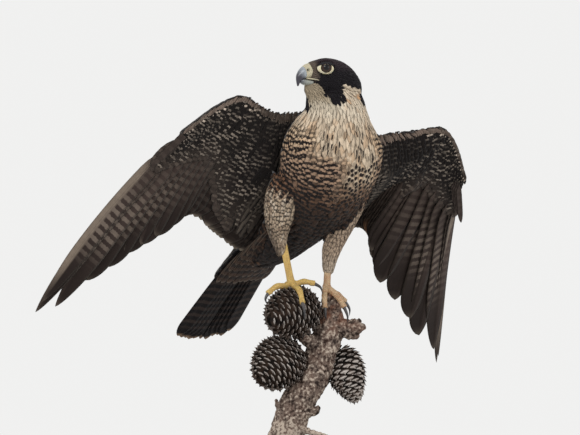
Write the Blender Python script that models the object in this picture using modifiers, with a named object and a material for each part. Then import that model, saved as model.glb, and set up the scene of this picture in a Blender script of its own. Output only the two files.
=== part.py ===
"""Peregrine falcon with half-spread wings, gripping a cut length of pine branch on a plain stand.

Metres, +Z up. The viewer stands at -Y, and +X is the viewer's right. The origin is the centre of
the stand's underside. Most places are given on a front drawing: units across from its left edge,
units down from its top edge, and millimetres of depth away from the viewer.
"""

import math

import bmesh
import bpy
import numpy as np
from mathutils import Vector


def mm(*values):
    """Millimetres as an array of metres, or one number for one value."""
    return values[0] * 0.001 if len(values) == 1 else np.array(values, float) * 0.001


# Front drawing
DRAWING_UNIT = mm(1.18)
DRAWING_MIDDLE = 310
DRAWING_BOTTOM = 435
DRAWING_RISE = mm(70)


def front(across, down, depth):
    """The world place of a point of the front drawing."""
    rise = DRAWING_RISE + (DRAWING_BOTTOM - down) * DRAWING_UNIT
    return np.array([(across - DRAWING_MIDDLE) * DRAWING_UNIT, depth * 0.001, rise])


# General sizes
TOUCH_GAP = mm(0.3)

# Torso and neck: centre of each section, half width, depth to the breast, depth to the back
SPINE = [
    (mm(26, -22.5, 476), mm(28.5), mm(27), mm(28)),
    (mm(28.5, -22, 462), mm(34), mm(32), mm(32)),
    (mm(29, -21, 449), mm(41), mm(38), mm(37)),
    (mm(28.5, -19, 436), mm(51), mm(44), mm(42)),
    (mm(26.5, -16, 418), mm(61), mm(51), mm(47)),
    (mm(25, -11.5, 400), mm(64), mm(54), mm(47)),
    (mm(20.5, -4.5, 382), mm(62), mm(53), mm(45)),
    (mm(13, 5, 365), mm(58), mm(50), mm(43)),
    (mm(2.5, 18, 347), mm(51), mm(46), mm(39)),
    (mm(-11.5, 33.5, 330), mm(43), mm(41), mm(34)),
    (mm(-28, 50, 313), mm(35), mm(37), mm(30)),
    (mm(-46, 66, 296), mm(30), mm(31), mm(23)),
    (mm(-60, 81, 278), mm(23), mm(17), mm(12)),
]
BREAST_LEFT = np.array([0.88, 0.43, -0.20])  # the bird's left at the breast
RUMP_LEFT = np.array([0.74, 0.67, -0.02])  # the bird's left at the tail
NECK_CUT = 2.0  # station where the neck ends and the torso begins
SPINE_SIDES = 18
SPINE_STATIONS = np.arange(0, len(SPINE) - 0.75, 0.5)

# Head: its frame and its sections from the nape to the cere
HEAD_CENTRE = mm(26, -24, 491)
HEAD_YAW = math.radians(62)  # turned from the viewer towards the viewer's left
HEAD_ROLL = math.radians(6)  # the near side is raised
HEAD_CUT_DROP = mm(15)  # the neck joins on a plane this far below the head's centre
HEAD_SIDES = 20
# forward, half width, top, bottom
HEAD_SECTIONS = [
    (mm(-35), mm(7), mm(0), mm(-16)),
    (mm(-33), mm(15), mm(7), mm(-22)),
    (mm(-28), mm(21.5), mm(14), mm(-28)),
    (mm(-20), mm(25.5), mm(19.5), mm(-30)),
    (mm(-9), mm(27), mm(23.2), mm(-28)),
    (mm(3), mm(26), mm(24.6), mm(-25)),
    (mm(12), mm(23.5), mm(24.2), mm(-21)),
    (mm(20), mm(19.5), mm(22.6), mm(-17)),
    (mm(27), mm(15), mm(20.8), mm(-13.5)),
    (mm(32), mm(11.5), mm(18.6), mm(-11.5)),
]
EYE_AT = mm(16, 16.4, 9.8)  # forward, outward, up
EYE_RADIUS = mm(7.5)
LID_RADIUS = mm(6.6)
LID_THICKNESS = mm(1.4)
LID_STANDOFF = mm(3.6)
LID_AIM = (0.36, 0.93, 0.05)  # the way that the eye looks: forward, outward, up
MOUTH_BACK = mm(23.5, 14.6, -6.4)  # forward, outward, up
MOUTH_FRONT = mm(33.5, 8.6, -5.0)
MOUTH_RADIUS = mm(0.8)

# Bill: forward and up of each section's centre, half width, half height, downward pitch in degrees
CERE_END = 1.0  # station where the cere ends and the horn begins
BILL_UPPER = [
    (mm(32.3), mm(6.0), mm(9.4), mm(11.0), 0),
    (mm(37.4), mm(5.2), mm(8.2), mm(9.2), 4),
    (mm(40.6), mm(3.6), mm(6.4), mm(6.8), 25),
    (mm(43.4), mm(0.2), mm(4.3), mm(4.7), 55),
    (mm(45.2), mm(-4.6), mm(2.4), mm(2.6), 80),
    (mm(46.4), mm(-9.6), mm(0.7), mm(0.8), 95),
]
BILL_LOWER = [
    (mm(32.3), mm(-6.0), mm(9.0), mm(3.4), 0),
    (mm(36.5), mm(-5.4), mm(7.4), mm(3.2), -4),
    (mm(40.0), mm(-4.6), mm(4.6), mm(2.5), -8),
    (mm(42.2), mm(-4.0), mm(2.0), mm(1.4), -8),
]
CERE_STATIONS = np.linspace(0, CERE_END, 4)
HORN_STATIONS = np.linspace(CERE_END + 0.1, len(BILL_UPPER) - 1, 8)
LOWER_STATIONS = np.linspace(0, len(BILL_LOWER) - 1, 5)
BILL_SIDES = 12
NOSTRIL_AT = (mm(35.6), mm(8.6))  # forward, up
NOSTRIL_RADIUS = mm(1.3)
NOSTRIL_REACH = (mm(5.5), mm(12))  # the blind hole's floor and its open end, outward from the middle

# Wings: on the front drawing, each flight feather's leading point on the wing's front edge, its
# root and its tip, from the innermost tertial out to the tenth primary
RIGHT_WING = {
    "T3": ((300, 111, -20), (292, 170, 6), (240, 251, 42)),
    "T2": ((294, 111.5, -24), (286, 176, 6), (234, 249, 38)),
    "T1": ((289, 112, -27), (281, 179, 4), (230, 246, 34)),
    "S10": ((284.5, 112.5, -29.5), (276, 176, -3), (226.6, 243.3, 28)),
    "S9": ((280.5, 112.8, -32), (272.5, 171, -9), (220, 238, 24)),
    "S8": ((276.5, 112, -34.5), (269, 165.5, -15), (217, 235.5, 20)),
    "S7": ((272.5, 110.5, -37), (266, 159, -20), (213, 232.5, 16)),
    "S6": ((268.5, 108.8, -40), (263, 152.5, -25), (209.5, 229.5, 11)),
    "S5": ((264.5, 107, -43), (260, 146, -30), (206, 226, 6)),
    "S4": ((260.5, 105, -46), (257, 139.5, -35), (200.5, 220, 2)),
    "S3": ((257, 102.8, -49), (254, 133, -40), (194.5, 217, -3)),
    "S2": ((253.5, 100.6, -52), (251, 126.5, -45), (188, 215, -8)),
    "S1": ((249.5, 98.2, -55), (248, 120, -50), (180, 217.5, -14)),
    "P1": ((245, 96.5, -58), (243.5, 115, -54), (171.5, 217.5, -20)),
    "P2": ((239.5, 96.3, -60), (236, 115.5, -56), (165, 227.5, -23)),
    "P3": ((234, 97.8, -61), (229, 116.5, -57), (155, 236, -26)),
    "P4": ((228.5, 100.5, -62), (222.5, 119, -58), (140.5, 244.5, -29)),
    "P5": ((222, 104, -62), (215.5, 122.5, -59), (125, 253, -33)),
    "P6": ((215, 108, -62), (208, 126.5, -59), (106, 267, -38)),
    "P7": ((207.5, 112.6, -62), (200.5, 131, -60), (85.4, 280.3, -45)),
    "P8": ((199, 118, -62), (193, 135.5, -60), (55.6, 306.5, -54)),
    "P9": ((190, 124.5, -62), (186.5, 139, -60), (36, 312, -60)),
    "P10": ((180.5, 132, -62), (181.5, 142, -60), (35, 309, -64)),
}
LEFT_WING = {
    "T3": ((368, 136, 27), (372, 172, 46), (346, 232, 128)),
    "T2": ((374, 135, 31), (379, 177, 51), (349, 230, 134)),
    "T1": ((380, 134, 35), (385.5, 179, 55), (352, 228.5, 139)),
    "S10": ((386, 133.3, 39), (391, 176, 58), (355, 228, 142)),
    "S9": ((391.5, 132.6, 42), (396, 171.5, 60), (358.5, 228, 140)),
    "S8": ((397, 132, 45), (401.5, 167, 62), (361.5, 228.5, 136)),
    "S7": ((403, 131.3, 48), (407, 163, 63.5), (364, 230, 131)),
    "S6": ((409, 130.6, 51), (413, 159, 65), (366, 232, 126)),
    "S5": ((415, 129.9, 54), (419, 155, 66), (368, 234.5, 121)),
    "S4": ((421, 129.2, 57), (425, 151, 67), (369.3, 237, 117)),
    "S3": ((427, 128.4, 59.5), (431, 147, 68), (370.3, 240, 114)),
    "S2": ((433, 127.6, 62), (437, 143, 69), (371, 243, 111)),
    "S1": ((439, 127.1, 64.5), (443, 139.5, 70.5), (371.5, 246.5, 109)),
    "P1": ((445, 129, 67), (448, 139, 73.5), (371.3, 251, 110)),
    "P2": ((450, 133, 71), (450.5, 143.5, 78), (372.5, 258, 115)),
    "P3": ((453, 137.5, 75), (453, 149, 83), (375.5, 268, 122)),
    "P4": ((455.5, 142.5, 80), (455, 155, 88), (380.6, 283.3, 134)),
    "P5": ((457.5, 148, 85), (457, 161, 93), (395.6, 300.7, 158)),
    "P6": ((459.3, 154, 90), (458.5, 167, 98.5), (411.3, 319.3, 184)),
    "P7": ((461, 160.5, 96), (460, 173, 104), (420.4, 336.7, 211)),
    "P8": ((462.8, 167, 102), (461.3, 179, 109.5), (435.5, 351, 246)),
    "P9": ((464.6, 173.5, 108), (462.4, 184.5, 115), (438.5, 364.6, 271)),
    "P10": ((466.2, 180, 114), (463.5, 189.5, 120), (440.5, 358, 276)),
}
SHOULDERS = {"right": (318, 114, -6), "left": (345, 134, 12)}
ALULAS = {
    "right": ((206, 114, -63), (159, 153, -67)),
    "left": ((459.5, 161, 92), (463.8, 222, 132)),
}
ARM_BULGE = mm(5)  # the arm stands this far off the plane on the upper side
FEATHER_BOW = 0.035  # the vanes' rise towards the upper side, as a share of their length
EDGE_BOW = 0.022  # their sweep towards the front edge, as a share of their length
# The fleshy arm: share of the way, on 0 to 1 from the front edge to the feather roots and 1 to 2
# on to the tips, and its thickness there
ARM_THICKNESS = [
    (0.0, mm(2.5)),
    (0.2, mm(7)),
    (0.6, mm(9)),
    (1.0, mm(6.5)),
    (1.2, mm(2.6)),
]
ARM_STRIDE = 2  # the arm has a section at every second flight feather
# Flight feathers: share of the length, and width there as a share of the feather's width
FLIGHT_WIDTHS = [(0.0, 0.16), (0.16, 0.16), (0.32, 0.9), (0.62, 1.0), (0.87, 0.78), (1.0, 0.16)]
COVERT_WIDTHS = [(0.0, 0.6), (0.7, 1.0), (1.0, 0.35)]
PRIMARY_WIDTH = mm(21)
SECONDARY_WIDTH = mm(21)
PRIMARY_LEAD = 0.3  # share of the width on the front side of the shaft
SECONDARY_LEAD = 0.4
VANE_THICKNESS = mm(0.65)
TIP_THICKNESS = mm(0.45)
LAYER_STEP = mm(1.15)  # from one vane's middle to the next, measured square to them
TILT_RANGE = (math.radians(7), math.radians(17))
COVERT_LIFT = mm(2.9)  # from the flight feathers' middles to the coverts' on either side
COVERT_START = 0.75  # of the way from the front edge to the feather roots
COVERT_END = 0.42  # of the way from the feather roots to the tips
COVERT_WIDTH = mm(17)
COVERT_STRIDE = 2  # one covert on each face for this many flight feathers

# Tail
TAIL_ROOT = mm(-40, 59, 303)
TAIL_TIP = mm(-137, 164, 184)
TAIL_LEFT = np.array([0.733, 0.680, 0.0])
TAIL_PAIRS = 6
TAIL_ROOT_STEP = mm(2.3)
TAIL_TIP_STEP = mm(6.2)
TAIL_VANE = mm(11)
TAIL_TILT = math.radians(9)
TAIL_CENTRE_LIFT = mm(2)  # one middle feather lies over the other
TAIL_ROUNDING = mm(9)  # the outermost feathers end this much short of the middle ones

# Legs: centre and radius of each section of the feathered thighs
THIGHS = {
    "right": [
        (mm(-19, -12, 366), mm(27)),
        (mm(-24, -11, 347), mm(24)),
        (mm(-30, -9, 326), mm(19)),
        (mm(-33, -7, 308), mm(12.5)),
        (mm(-31.5, -6, 292), mm(6.8)),
    ],
    "left": [
        (mm(49, 22, 362), mm(25)),
        (mm(43, 23, 340), mm(22)),
        (mm(34, 22, 315), mm(18)),
        (mm(26.5, 21, 293), mm(14.5)),
        (mm(22.8, 20, 278), mm(10)),
        (mm(20.8, 19, 266), mm(6.0)),
    ],
}
SHANK_RADIUS = mm(4.4)
SHANK_TOPS = {"right": mm(-31.8, -6.2, 297), "left": mm(21.2, 19.5, 271)}
FEET = {"right": mm(-22.4, -10, 250), "left": mm(19.8, 18, 244.5)}
FOOT_RADIUS = mm(5.6)
TOE_RADIUS = mm(3.7)
# each toe's joints from the foot to the root of its claw, then the claw's middle and tip
TOES = {
    "right": {
        "inner": [(288, 286, -12), (277, 286.5, -22), (267.5, 293.5, -28), (265.5, 299, -31), (267.5, 305, -30)],
        "middle": [(294, 285.5, -18), (299.5, 291, -34), (302.5, 303, -46), (304.5, 312, -48), (304, 320, -44)],
        "outer": [(296, 284, -11), (304, 281.8, -10), (315, 283.6, -10), (320.5, 287.5, -12), (322.5, 294, -12)],
        "hind": [(291, 284, -3), (287, 285, 10), (284, 293, 21), (284, 300, 24), (286.5, 306, 22)],
    },
    "left": {
        "inner": [(325, 291, 12), (324.5, 297, -1), (325, 308, -5), (325.5, 315, -5), (326.5, 321, -1)],
        "middle": [(331, 291, 9), (338.5, 298, 3), (344.5, 307.5, -1), (347.5, 316, -3), (347, 323, -1)],
        "outer": [(332, 291.5, 20), (338, 295, 24), (345.5, 302, 27), (349.5, 309, 27), (349.5, 316, 25)],
        "hind": [(326, 289, 25), (325, 291.5, 35), (325, 299, 41), (326, 306, 42), (328, 312, 38)],
    },
}
CLAW_RADIUS = mm(2.1)
TOE_HINT = (0.1, 1, 0.3)  # a direction that no toe or claw follows
CLAW_RINGS = 6
CLAW_SIDES = 6
TOE_SIDES = 8

# Perch: the branch's sections and its stubs, then the three cones
BRANCH = [
    (mm(-34, 6, 56), mm(18)),
    (mm(-27, 6, 72), mm(19)),
    (mm(-17, 6, 104), mm(18.5)),
    (mm(3, 8, 138), mm(19)),
    (mm(15.5, 12, 172), mm(18.5)),
    (mm(23, 15, 199), mm(17)),
    (mm(25, 17, 222), mm(12.5)),
    (mm(23, 18, 237), mm(9)),
]
BRANCH_STUBS = {
    "right": [(mm(28, 14, 197), mm(12)), (mm(48, 10, 196), mm(11)), (mm(66, 6, 194.5), mm(8.5))],
    "thorn": [(mm(-22, 2, 96), mm(6)), (mm(-36, -4, 103), mm(4)), (mm(-41, -6, 112), mm(1.5))],
    "knot": [(mm(-8, 2, 96), mm(7)), (mm(6, -4, 99), mm(5)), (mm(11, -6, 104), mm(2.5))],
    "spur": [(mm(-20, 2, 76), mm(8)), (mm(-3, -3, 75), mm(6)), (mm(14, -6, 73), mm(5))],
}
# Cones: centre, half sizes across and along the axis, and the way that the tip points
CONES = {
    "top": (mm(-21, -11, 214), mm(31, 35), (-0.75, -0.6, -0.25)),
    "left": (mm(-38, -4, 154), mm(31, 34), (-0.62, -0.5, -0.6)),
    "right": (mm(43, 22, 141), mm(23, 34), (0.35, -0.15, -0.92)),
}
CONE_SEGMENTS = 20
CONE_RINGS = 13
CONE_SCALE_RISE = 0.09  # the scales' ends stand out by this share of the radius

# Stand
BASE_RADIUS = mm(105)
BASE_HEIGHT = mm(14)
BASE_SIDES = 40
ROD_RADIUS = mm(5)
ROD_TOP = mm(-31, 6, 62)

COLOURS = {
    "plumage_dark": (0.045, 0.038, 0.034),
    "plumage_pale": (0.58, 0.47, 0.34),
    "plumage_barred": (0.20, 0.155, 0.12),
    "cere_yellow": (0.62, 0.55, 0.20),
    "bill_slate": (0.10, 0.11, 0.13),
    "eye_dark": (0.012, 0.008, 0.006),
    "foot_yellow": (0.72, 0.47, 0.08),
    "claw_black": (0.015, 0.014, 0.014),
    "bark": (0.16, 0.12, 0.095),
    "cone_scale": (0.085, 0.066, 0.055),
    "stand_black": (0.02, 0.02, 0.022),
}
ROUGHNESS = {"eye_dark": 0.05, "bill_slate": 0.35, "claw_black": 0.3, "stand_black": 0.4}


def clear_scene():
    """Removes every object of the starting scene."""
    for obj in list(bpy.data.objects):
        bpy.data.objects.remove(obj)


def collection(name, hidden=False):
    """A new collection in the scene, hidden from renders for cutters."""
    made = bpy.data.collections.new(name)
    bpy.context.scene.collection.children.link(made)
    made.hide_render = hidden
    return made


def material(name):
    """The part's material of that name, made once."""
    found = bpy.data.materials.get(name)
    if found:
        return found
    made = bpy.data.materials.new(name)
    made.use_nodes = True
    shader = made.node_tree.nodes["Principled BSDF"]
    shader.inputs["Base Color"].default_value = (*COLOURS[name], 1)
    shader.inputs["Roughness"].default_value = ROUGHNESS.get(name, 0.7)
    return made


def unit(vectors):
    """The vector, or each row of vectors, at length 1."""
    vectors = np.asarray(vectors, float)
    return vectors / np.linalg.norm(vectors, axis=-1, keepdims=True)


def smooth_rows(rows, at):
    """Rows of numbers read at fractional stations by a Catmull-Rom curve through them."""
    rows = np.array(rows, float)
    at = np.clip(np.asarray(at, float), 0, len(rows) - 1)
    first = np.minimum(at.astype(int), len(rows) - 2)
    t = (at - first)[:, None]
    ends = np.vstack([2 * rows[0] - rows[1], rows, 2 * rows[-1] - rows[-2]])
    p0, p1, p2, p3 = (ends[first + k] for k in range(4))
    linear = (p2 - p0) * t
    square = (2 * p0 - 5 * p1 + 4 * p2 - p3) * t**2
    cube = (3 * p1 - p0 - 3 * p2 + p3) * t**3
    return 0.5 * (2 * p1 + linear + square + cube)


def new_object(name, mesh, look, where):
    """An object for the mesh, in its collection, smooth but for its sharp edges."""
    obj = bpy.data.objects.new(name, mesh)
    where.objects.link(obj)
    finish(obj, look)
    return obj


def finish(obj, look):
    """One material on the whole object, and shading sharp only at clear edges."""
    obj.data.materials.clear()
    obj.data.materials.append(material(look))
    obj.data.shade_smooth()
    obj.data.set_sharp_from_angle(angle=math.radians(40))


def loft(name, rings, look, where, paired=False):
    """A closed skin over rings of equal counts, capped at both ends.

    paired splits the second half of each ring the other way, so that a thin blade's two faces
    have triangles alike.
    """
    rings = [np.asarray(ring, float) for ring in rings]
    count = len(rings[0])
    points = [tuple(p) for ring in rings for p in ring]
    faces = []
    for k in range(len(rings) - 1):
        for j in range(count):
            a, b = k * count + j, k * count + (j + 1) % count
            c, d = a + count, b + count
            if paired and j >= count // 2:
                faces += [(a, b, c), (b, d, c)]
            else:
                faces += [(a, b, d), (a, d, c)]
    for k, turn in ((0, -1), (len(rings) - 1, 1)):
        corners = [k * count + j for j in range(count)]
        if paired:
            half = count // 2
            for j in range(half - 1):
                quad = [corners[j], corners[j + 1], corners[count - 2 - j], corners[count - 1 - j]]
                faces += [(quad[0], quad[1], quad[2])[::turn], (quad[0], quad[2], quad[3])[::turn]]
            continue
        points.append(tuple(rings[k].mean(axis=0)))
        middle = len(points) - 1
        faces += [(corners[j], corners[(j + 1) % count], middle)[::turn] for j in range(count)]
    mesh = bpy.data.meshes.new(name)
    mesh.from_pydata(points, [], faces)
    work = bmesh.new()
    work.from_mesh(mesh)
    if work.calc_volume(signed=True) < 0:
        bmesh.ops.reverse_faces(work, faces=work.faces)
    work.to_mesh(mesh)
    work.free()
    return new_object(name, mesh, look, where)


def oval(centre, side, ahead, width, fore, aft, count, grow=0.0):
    """A ring about centre: width along side, fore along ahead and aft against it."""
    angles = np.arange(count) * 2 * math.pi / count
    across = np.cos(angles) * (width + grow)
    along = np.where(np.sin(angles) > 0, fore + grow, aft + grow) * np.sin(angles)
    return centre + across[:, None] * side + along[:, None] * ahead


def tube(name, stations, sides, look, where, hint=(0, 1, 0.01), grow=0.0):
    """A round tube along stations of (centre, radius), its rings square to its line."""
    centres = np.array([row[0] for row in stations])
    lines = unit(np.gradient(centres, axis=0))
    rings = []
    for centre, line, (_, radius) in zip(centres, lines, stations):
        side = unit(np.cross(line, hint))
        rings.append(oval(centre, side, np.cross(side, line), radius, radius, radius, sides, grow))
    return loft(name, rings, look, where)


def ball(name, centre, radii, look, where, segments=16, rings=10, turn=0.0):
    """A sphere primitive scaled to the radii, turned about Y in degrees and moved to centre."""
    mesh = bpy.data.meshes.new(name)
    work = bmesh.new()
    bmesh.ops.create_uvsphere(work, u_segments=segments, v_segments=rings, radius=1.0)
    bmesh.ops.scale(work, vec=Vector(radii), verts=work.verts)
    c, s = math.cos(math.radians(turn)), math.sin(math.radians(turn))
    for vert in work.verts:
        x, y, z = vert.co
        vert.co = Vector((x * c + z * s, y, z * c - x * s)) + Vector(centre)
    work.to_mesh(mesh)
    work.free()
    return new_object(name, mesh, look, where)


def rod(name, low, high, r_low, r_high, look, where, segments=16):
    """A capped cone or cylinder from low to high."""
    low, high = Vector(low), Vector(high)
    mesh = bpy.data.meshes.new(name)
    work = bmesh.new()
    bmesh.ops.create_cone(
        work, cap_ends=True, segments=segments, radius1=r_low, radius2=r_high, depth=(high - low).length
    )
    turn = (high - low).to_track_quat("Z", "Y").to_matrix()
    bmesh.ops.rotate(work, matrix=turn, verts=work.verts)
    bmesh.ops.translate(work, vec=(low + high) / 2, verts=work.verts)
    work.to_mesh(mesh)
    work.free()
    return new_object(name, mesh, look, where)


def boolean(obj, others, operation, solver="EXACT"):
    """Joins or cuts obj by the others in one go, applies it and removes them."""
    group = bpy.data.collections.new("boolean_group")
    bpy.context.scene.collection.children.link(group)
    for other in others:
        group.objects.link(other)
    change = obj.modifiers.new("change", "BOOLEAN")
    change.operand_type = "COLLECTION"
    change.collection = group
    change.operation = operation
    change.solver = solver
    bpy.context.view_layer.update()
    graph = bpy.context.evaluated_depsgraph_get()
    mesh = bpy.data.meshes.new_from_object(obj.evaluated_get(graph))
    look = obj.data.materials[0].name
    obj.modifiers.clear()
    obj.data = mesh
    for other in others:
        bpy.data.objects.remove(other)
    bpy.data.collections.remove(group)
    keep_largest(obj)
    finish(obj, look)
    return obj


def keep_largest(obj):
    """Leaves only the closed surface of the largest volume in the object's mesh."""
    work = bmesh.new()
    work.from_mesh(obj.data)
    bmesh.ops.triangulate(work, faces=work.faces)
    unseen, islands = set(work.faces), []
    while unseen:
        stack, island = [unseen.pop()], []
        while stack:
            face = stack.pop()
            island.append(face)
            for edge in face.edges:
                for near in edge.link_faces:
                    if near in unseen:
                        unseen.discard(near)
                        stack.append(near)
        islands.append(island)

    def volume(island):
        corners = np.array([[tuple(v.co) for v in face.verts] for face in island])
        return np.einsum("ij,ij->", corners[:, 0], np.cross(corners[:, 1], corners[:, 2])) / 6

    islands.sort(key=volume)
    loose = [face for island in islands[:-1] for face in island]
    bmesh.ops.delete(work, geom=loose, context="FACES")
    work.to_mesh(obj.data)
    work.free()


def spine_frame(at):
    """Centre, left and front directions of the body at fractional stations."""
    at = np.asarray(at, float)
    centres = [row[0] for row in SPINE]
    centre = smooth_rows(centres, at)
    step = 0.05
    tailward = unit(smooth_rows(centres, at + step) - smooth_rows(centres, at - step))
    share = np.clip((at - 5) / (len(SPINE) - 6), 0, 1)[:, None]
    left = BREAST_LEFT * (1 - share) + RUMP_LEFT * share
    left = unit(left - (left * tailward).sum(axis=1)[:, None] * tailward)
    return centre, left, np.cross(tailward, left)


def spine_rings(stations, grow=0.0):
    """Rings of the neck and torso at the stations, grown by a gap for a cutter."""
    centre, left, ahead = spine_frame(stations)
    sizes = smooth_rows([row[1:] for row in SPINE], stations)
    return [
        oval(centre[k], left[k], ahead[k], *sizes[k], SPINE_SIDES, grow) for k in range(len(stations))
    ]


def body_cutter(cutters):
    """The neck and torso grown by the gap that keeps neighbours apart."""
    rings = spine_rings(SPINE_STATIONS, TOUCH_GAP)
    rings.append(rings[-1] + unit(SPINE[-1][0] - SPINE[-2][0]) * TOUCH_GAP)
    return loft("cut", rings, "bark", cutters)


def head_axes():
    """The head's forward, left and up directions."""
    forward = np.array([-math.sin(HEAD_YAW), -math.cos(HEAD_YAW), 0.0])
    left = np.array([math.cos(HEAD_YAW), -math.sin(HEAD_YAW), 0.0])
    up = np.array([0.0, 0.0, 1.0])
    c, s = math.cos(HEAD_ROLL), math.sin(HEAD_ROLL)
    return forward, left * c + up * s, up * c - left * s


def head_point(forward, left, up):
    """A place in the head's own frame as a world point."""
    f, l, u = head_axes()
    return HEAD_CENTRE + forward * f + left * l + up * u


def head_rings(grow=0.0):
    """Rings of the head's plumage from the nape to the cere."""
    _, left, up = head_axes()
    rings = []
    for forward, width, top, bottom in HEAD_SECTIONS:
        middle = head_point(forward, 0, (top + bottom) / 2)
        half = (top - bottom) / 2
        rings.append(oval(middle, left, up, width, half, half, HEAD_SIDES, grow))
    return rings


def bill_rings(shape, stations, grow=0.0):
    """Rings of a bill half at fractional stations."""
    forward, left, up = head_axes()
    rings = []
    for f, u, width, height, pitch in smooth_rows(shape, stations):
        angle = math.radians(pitch)
        ahead = up * math.cos(angle) + forward * math.sin(angle)
        rings.append(oval(head_point(f, 0, u), left, ahead, width, height, height, BILL_SIDES, grow))
    return rings


def make_head_and_neck(parts, cutters):
    """The head and the neck, modelled together and parted by a thin level cut."""
    neck = loft("neck", spine_rings(SPINE_STATIONS[SPINE_STATIONS <= NECK_CUT]), "plumage_pale", parts)
    head = loft("head", head_rings(), "plumage_dark", parts)
    _, _, up = head_axes()
    cut = head_point(0, 0, -HEAD_CUT_DROP)
    slab = mm(120)
    above = rod("cut", cut, cut + up * slab, slab, slab, "bark", cutters, 6)
    boolean(neck, [above], "DIFFERENCE")
    below = rod("cut", cut - up * slab, cut + up * TOUCH_GAP, slab, slab, "bark", cutters, 6)
    boolean(head, [below], "DIFFERENCE")
    sockets = []
    for side, word in ((1, "left"), (-1, "right")):
        centre = head_point(EYE_AT[0], side * EYE_AT[1], EYE_AT[2])
        sockets.append(ball("socket", centre, [EYE_RADIUS + TOUCH_GAP * 1.5] * 3, "bark", cutters, 14, 9))
        ball(f"eye_{word}", centre, [EYE_RADIUS] * 3, "eye_dark", parts, 14, 9)
    lids = []
    for side in (1, -1):
        lids.append(lid_ring(side, cutters))
        far = head_point(MOUTH_BACK[0], side * MOUTH_BACK[1], MOUTH_BACK[2])
        near = head_point(MOUTH_FRONT[0], side * MOUTH_FRONT[1], MOUTH_FRONT[2])
        sockets.append(rod("mouth", far, near, MOUTH_RADIUS, MOUTH_RADIUS, "bark", cutters, 6))
    boolean(head, lids, "UNION")
    boolean(head, sockets, "DIFFERENCE")


def lid_ring(side, where):
    """The bare ring of skin round an eye, as a torus set in the face."""
    forward, left, up = head_axes()
    outward = unit(left * side * LID_AIM[1] + forward * LID_AIM[0] + up * LID_AIM[2])
    centre = head_point(EYE_AT[0], side * EYE_AT[1], EYE_AT[2]) + outward * LID_STANDOFF
    turn = Vector(outward).to_track_quat("Z", "Y").to_euler()
    bpy.ops.mesh.primitive_torus_add(
        major_segments=14, minor_segments=6, major_radius=LID_RADIUS, minor_radius=LID_THICKNESS,
        location=centre, rotation=turn,
    )
    ring = bpy.context.active_object
    ring.data.transform(ring.matrix_world)
    made = new_object("lid", ring.data.copy(), "plumage_dark", where)
    bpy.data.objects.remove(ring)
    return made


def make_bill(parts, cutters):
    """The cere, the hooked upper bill and the lower bill."""
    cere = loft("cere", bill_rings(BILL_UPPER, CERE_STATIONS), "cere_yellow", parts)
    loft("bill_upper", bill_rings(BILL_UPPER, HORN_STATIONS), "bill_slate", parts)
    holes = []
    for side in (1, -1):
        inner, outer = (head_point(NOSTRIL_AT[0], side * reach, NOSTRIL_AT[1]) for reach in NOSTRIL_REACH)
        holes.append(rod("nostril", inner, outer, NOSTRIL_RADIUS, NOSTRIL_RADIUS, "bark", cutters, 8))
    boolean(cere, holes, "DIFFERENCE")
    lower = loft("bill_lower", bill_rings(BILL_LOWER, LOWER_STATIONS), "bill_slate", parts)
    whole = np.concatenate([CERE_STATIONS, HORN_STATIONS])
    upper = loft("cut", bill_rings(BILL_UPPER, whole, TOUCH_GAP), "bark", cutters)
    boolean(lower, [upper], "DIFFERENCE")


def make_torso(parts):
    """The torso from the neck's base to the tail's root."""
    stations = SPINE_STATIONS[SPINE_STATIONS >= NECK_CUT].copy()
    stations[0] += TOUCH_GAP / np.linalg.norm(SPINE[3][0] - SPINE[2][0])
    return loft("torso", spine_rings(stations), "plumage_barred", parts)


def vane(places, axis, face, lead, trail, where, thickness=VANE_THICKNESS):
    """A thin blade along places, reaching lead to one side along axis and trail to the other."""
    rings = []
    for k, (place, fore, aft) in enumerate(zip(places, lead, trail)):
        rise = face * (TIP_THICKNESS if k == len(places) - 1 else thickness) / 2
        a, b = place + axis * fore, place - axis * aft
        rings.append([a + rise, b + rise, b - rise, a - rise])
    return loft("vane", rings, "plumage_dark", where, paired=True)


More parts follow.
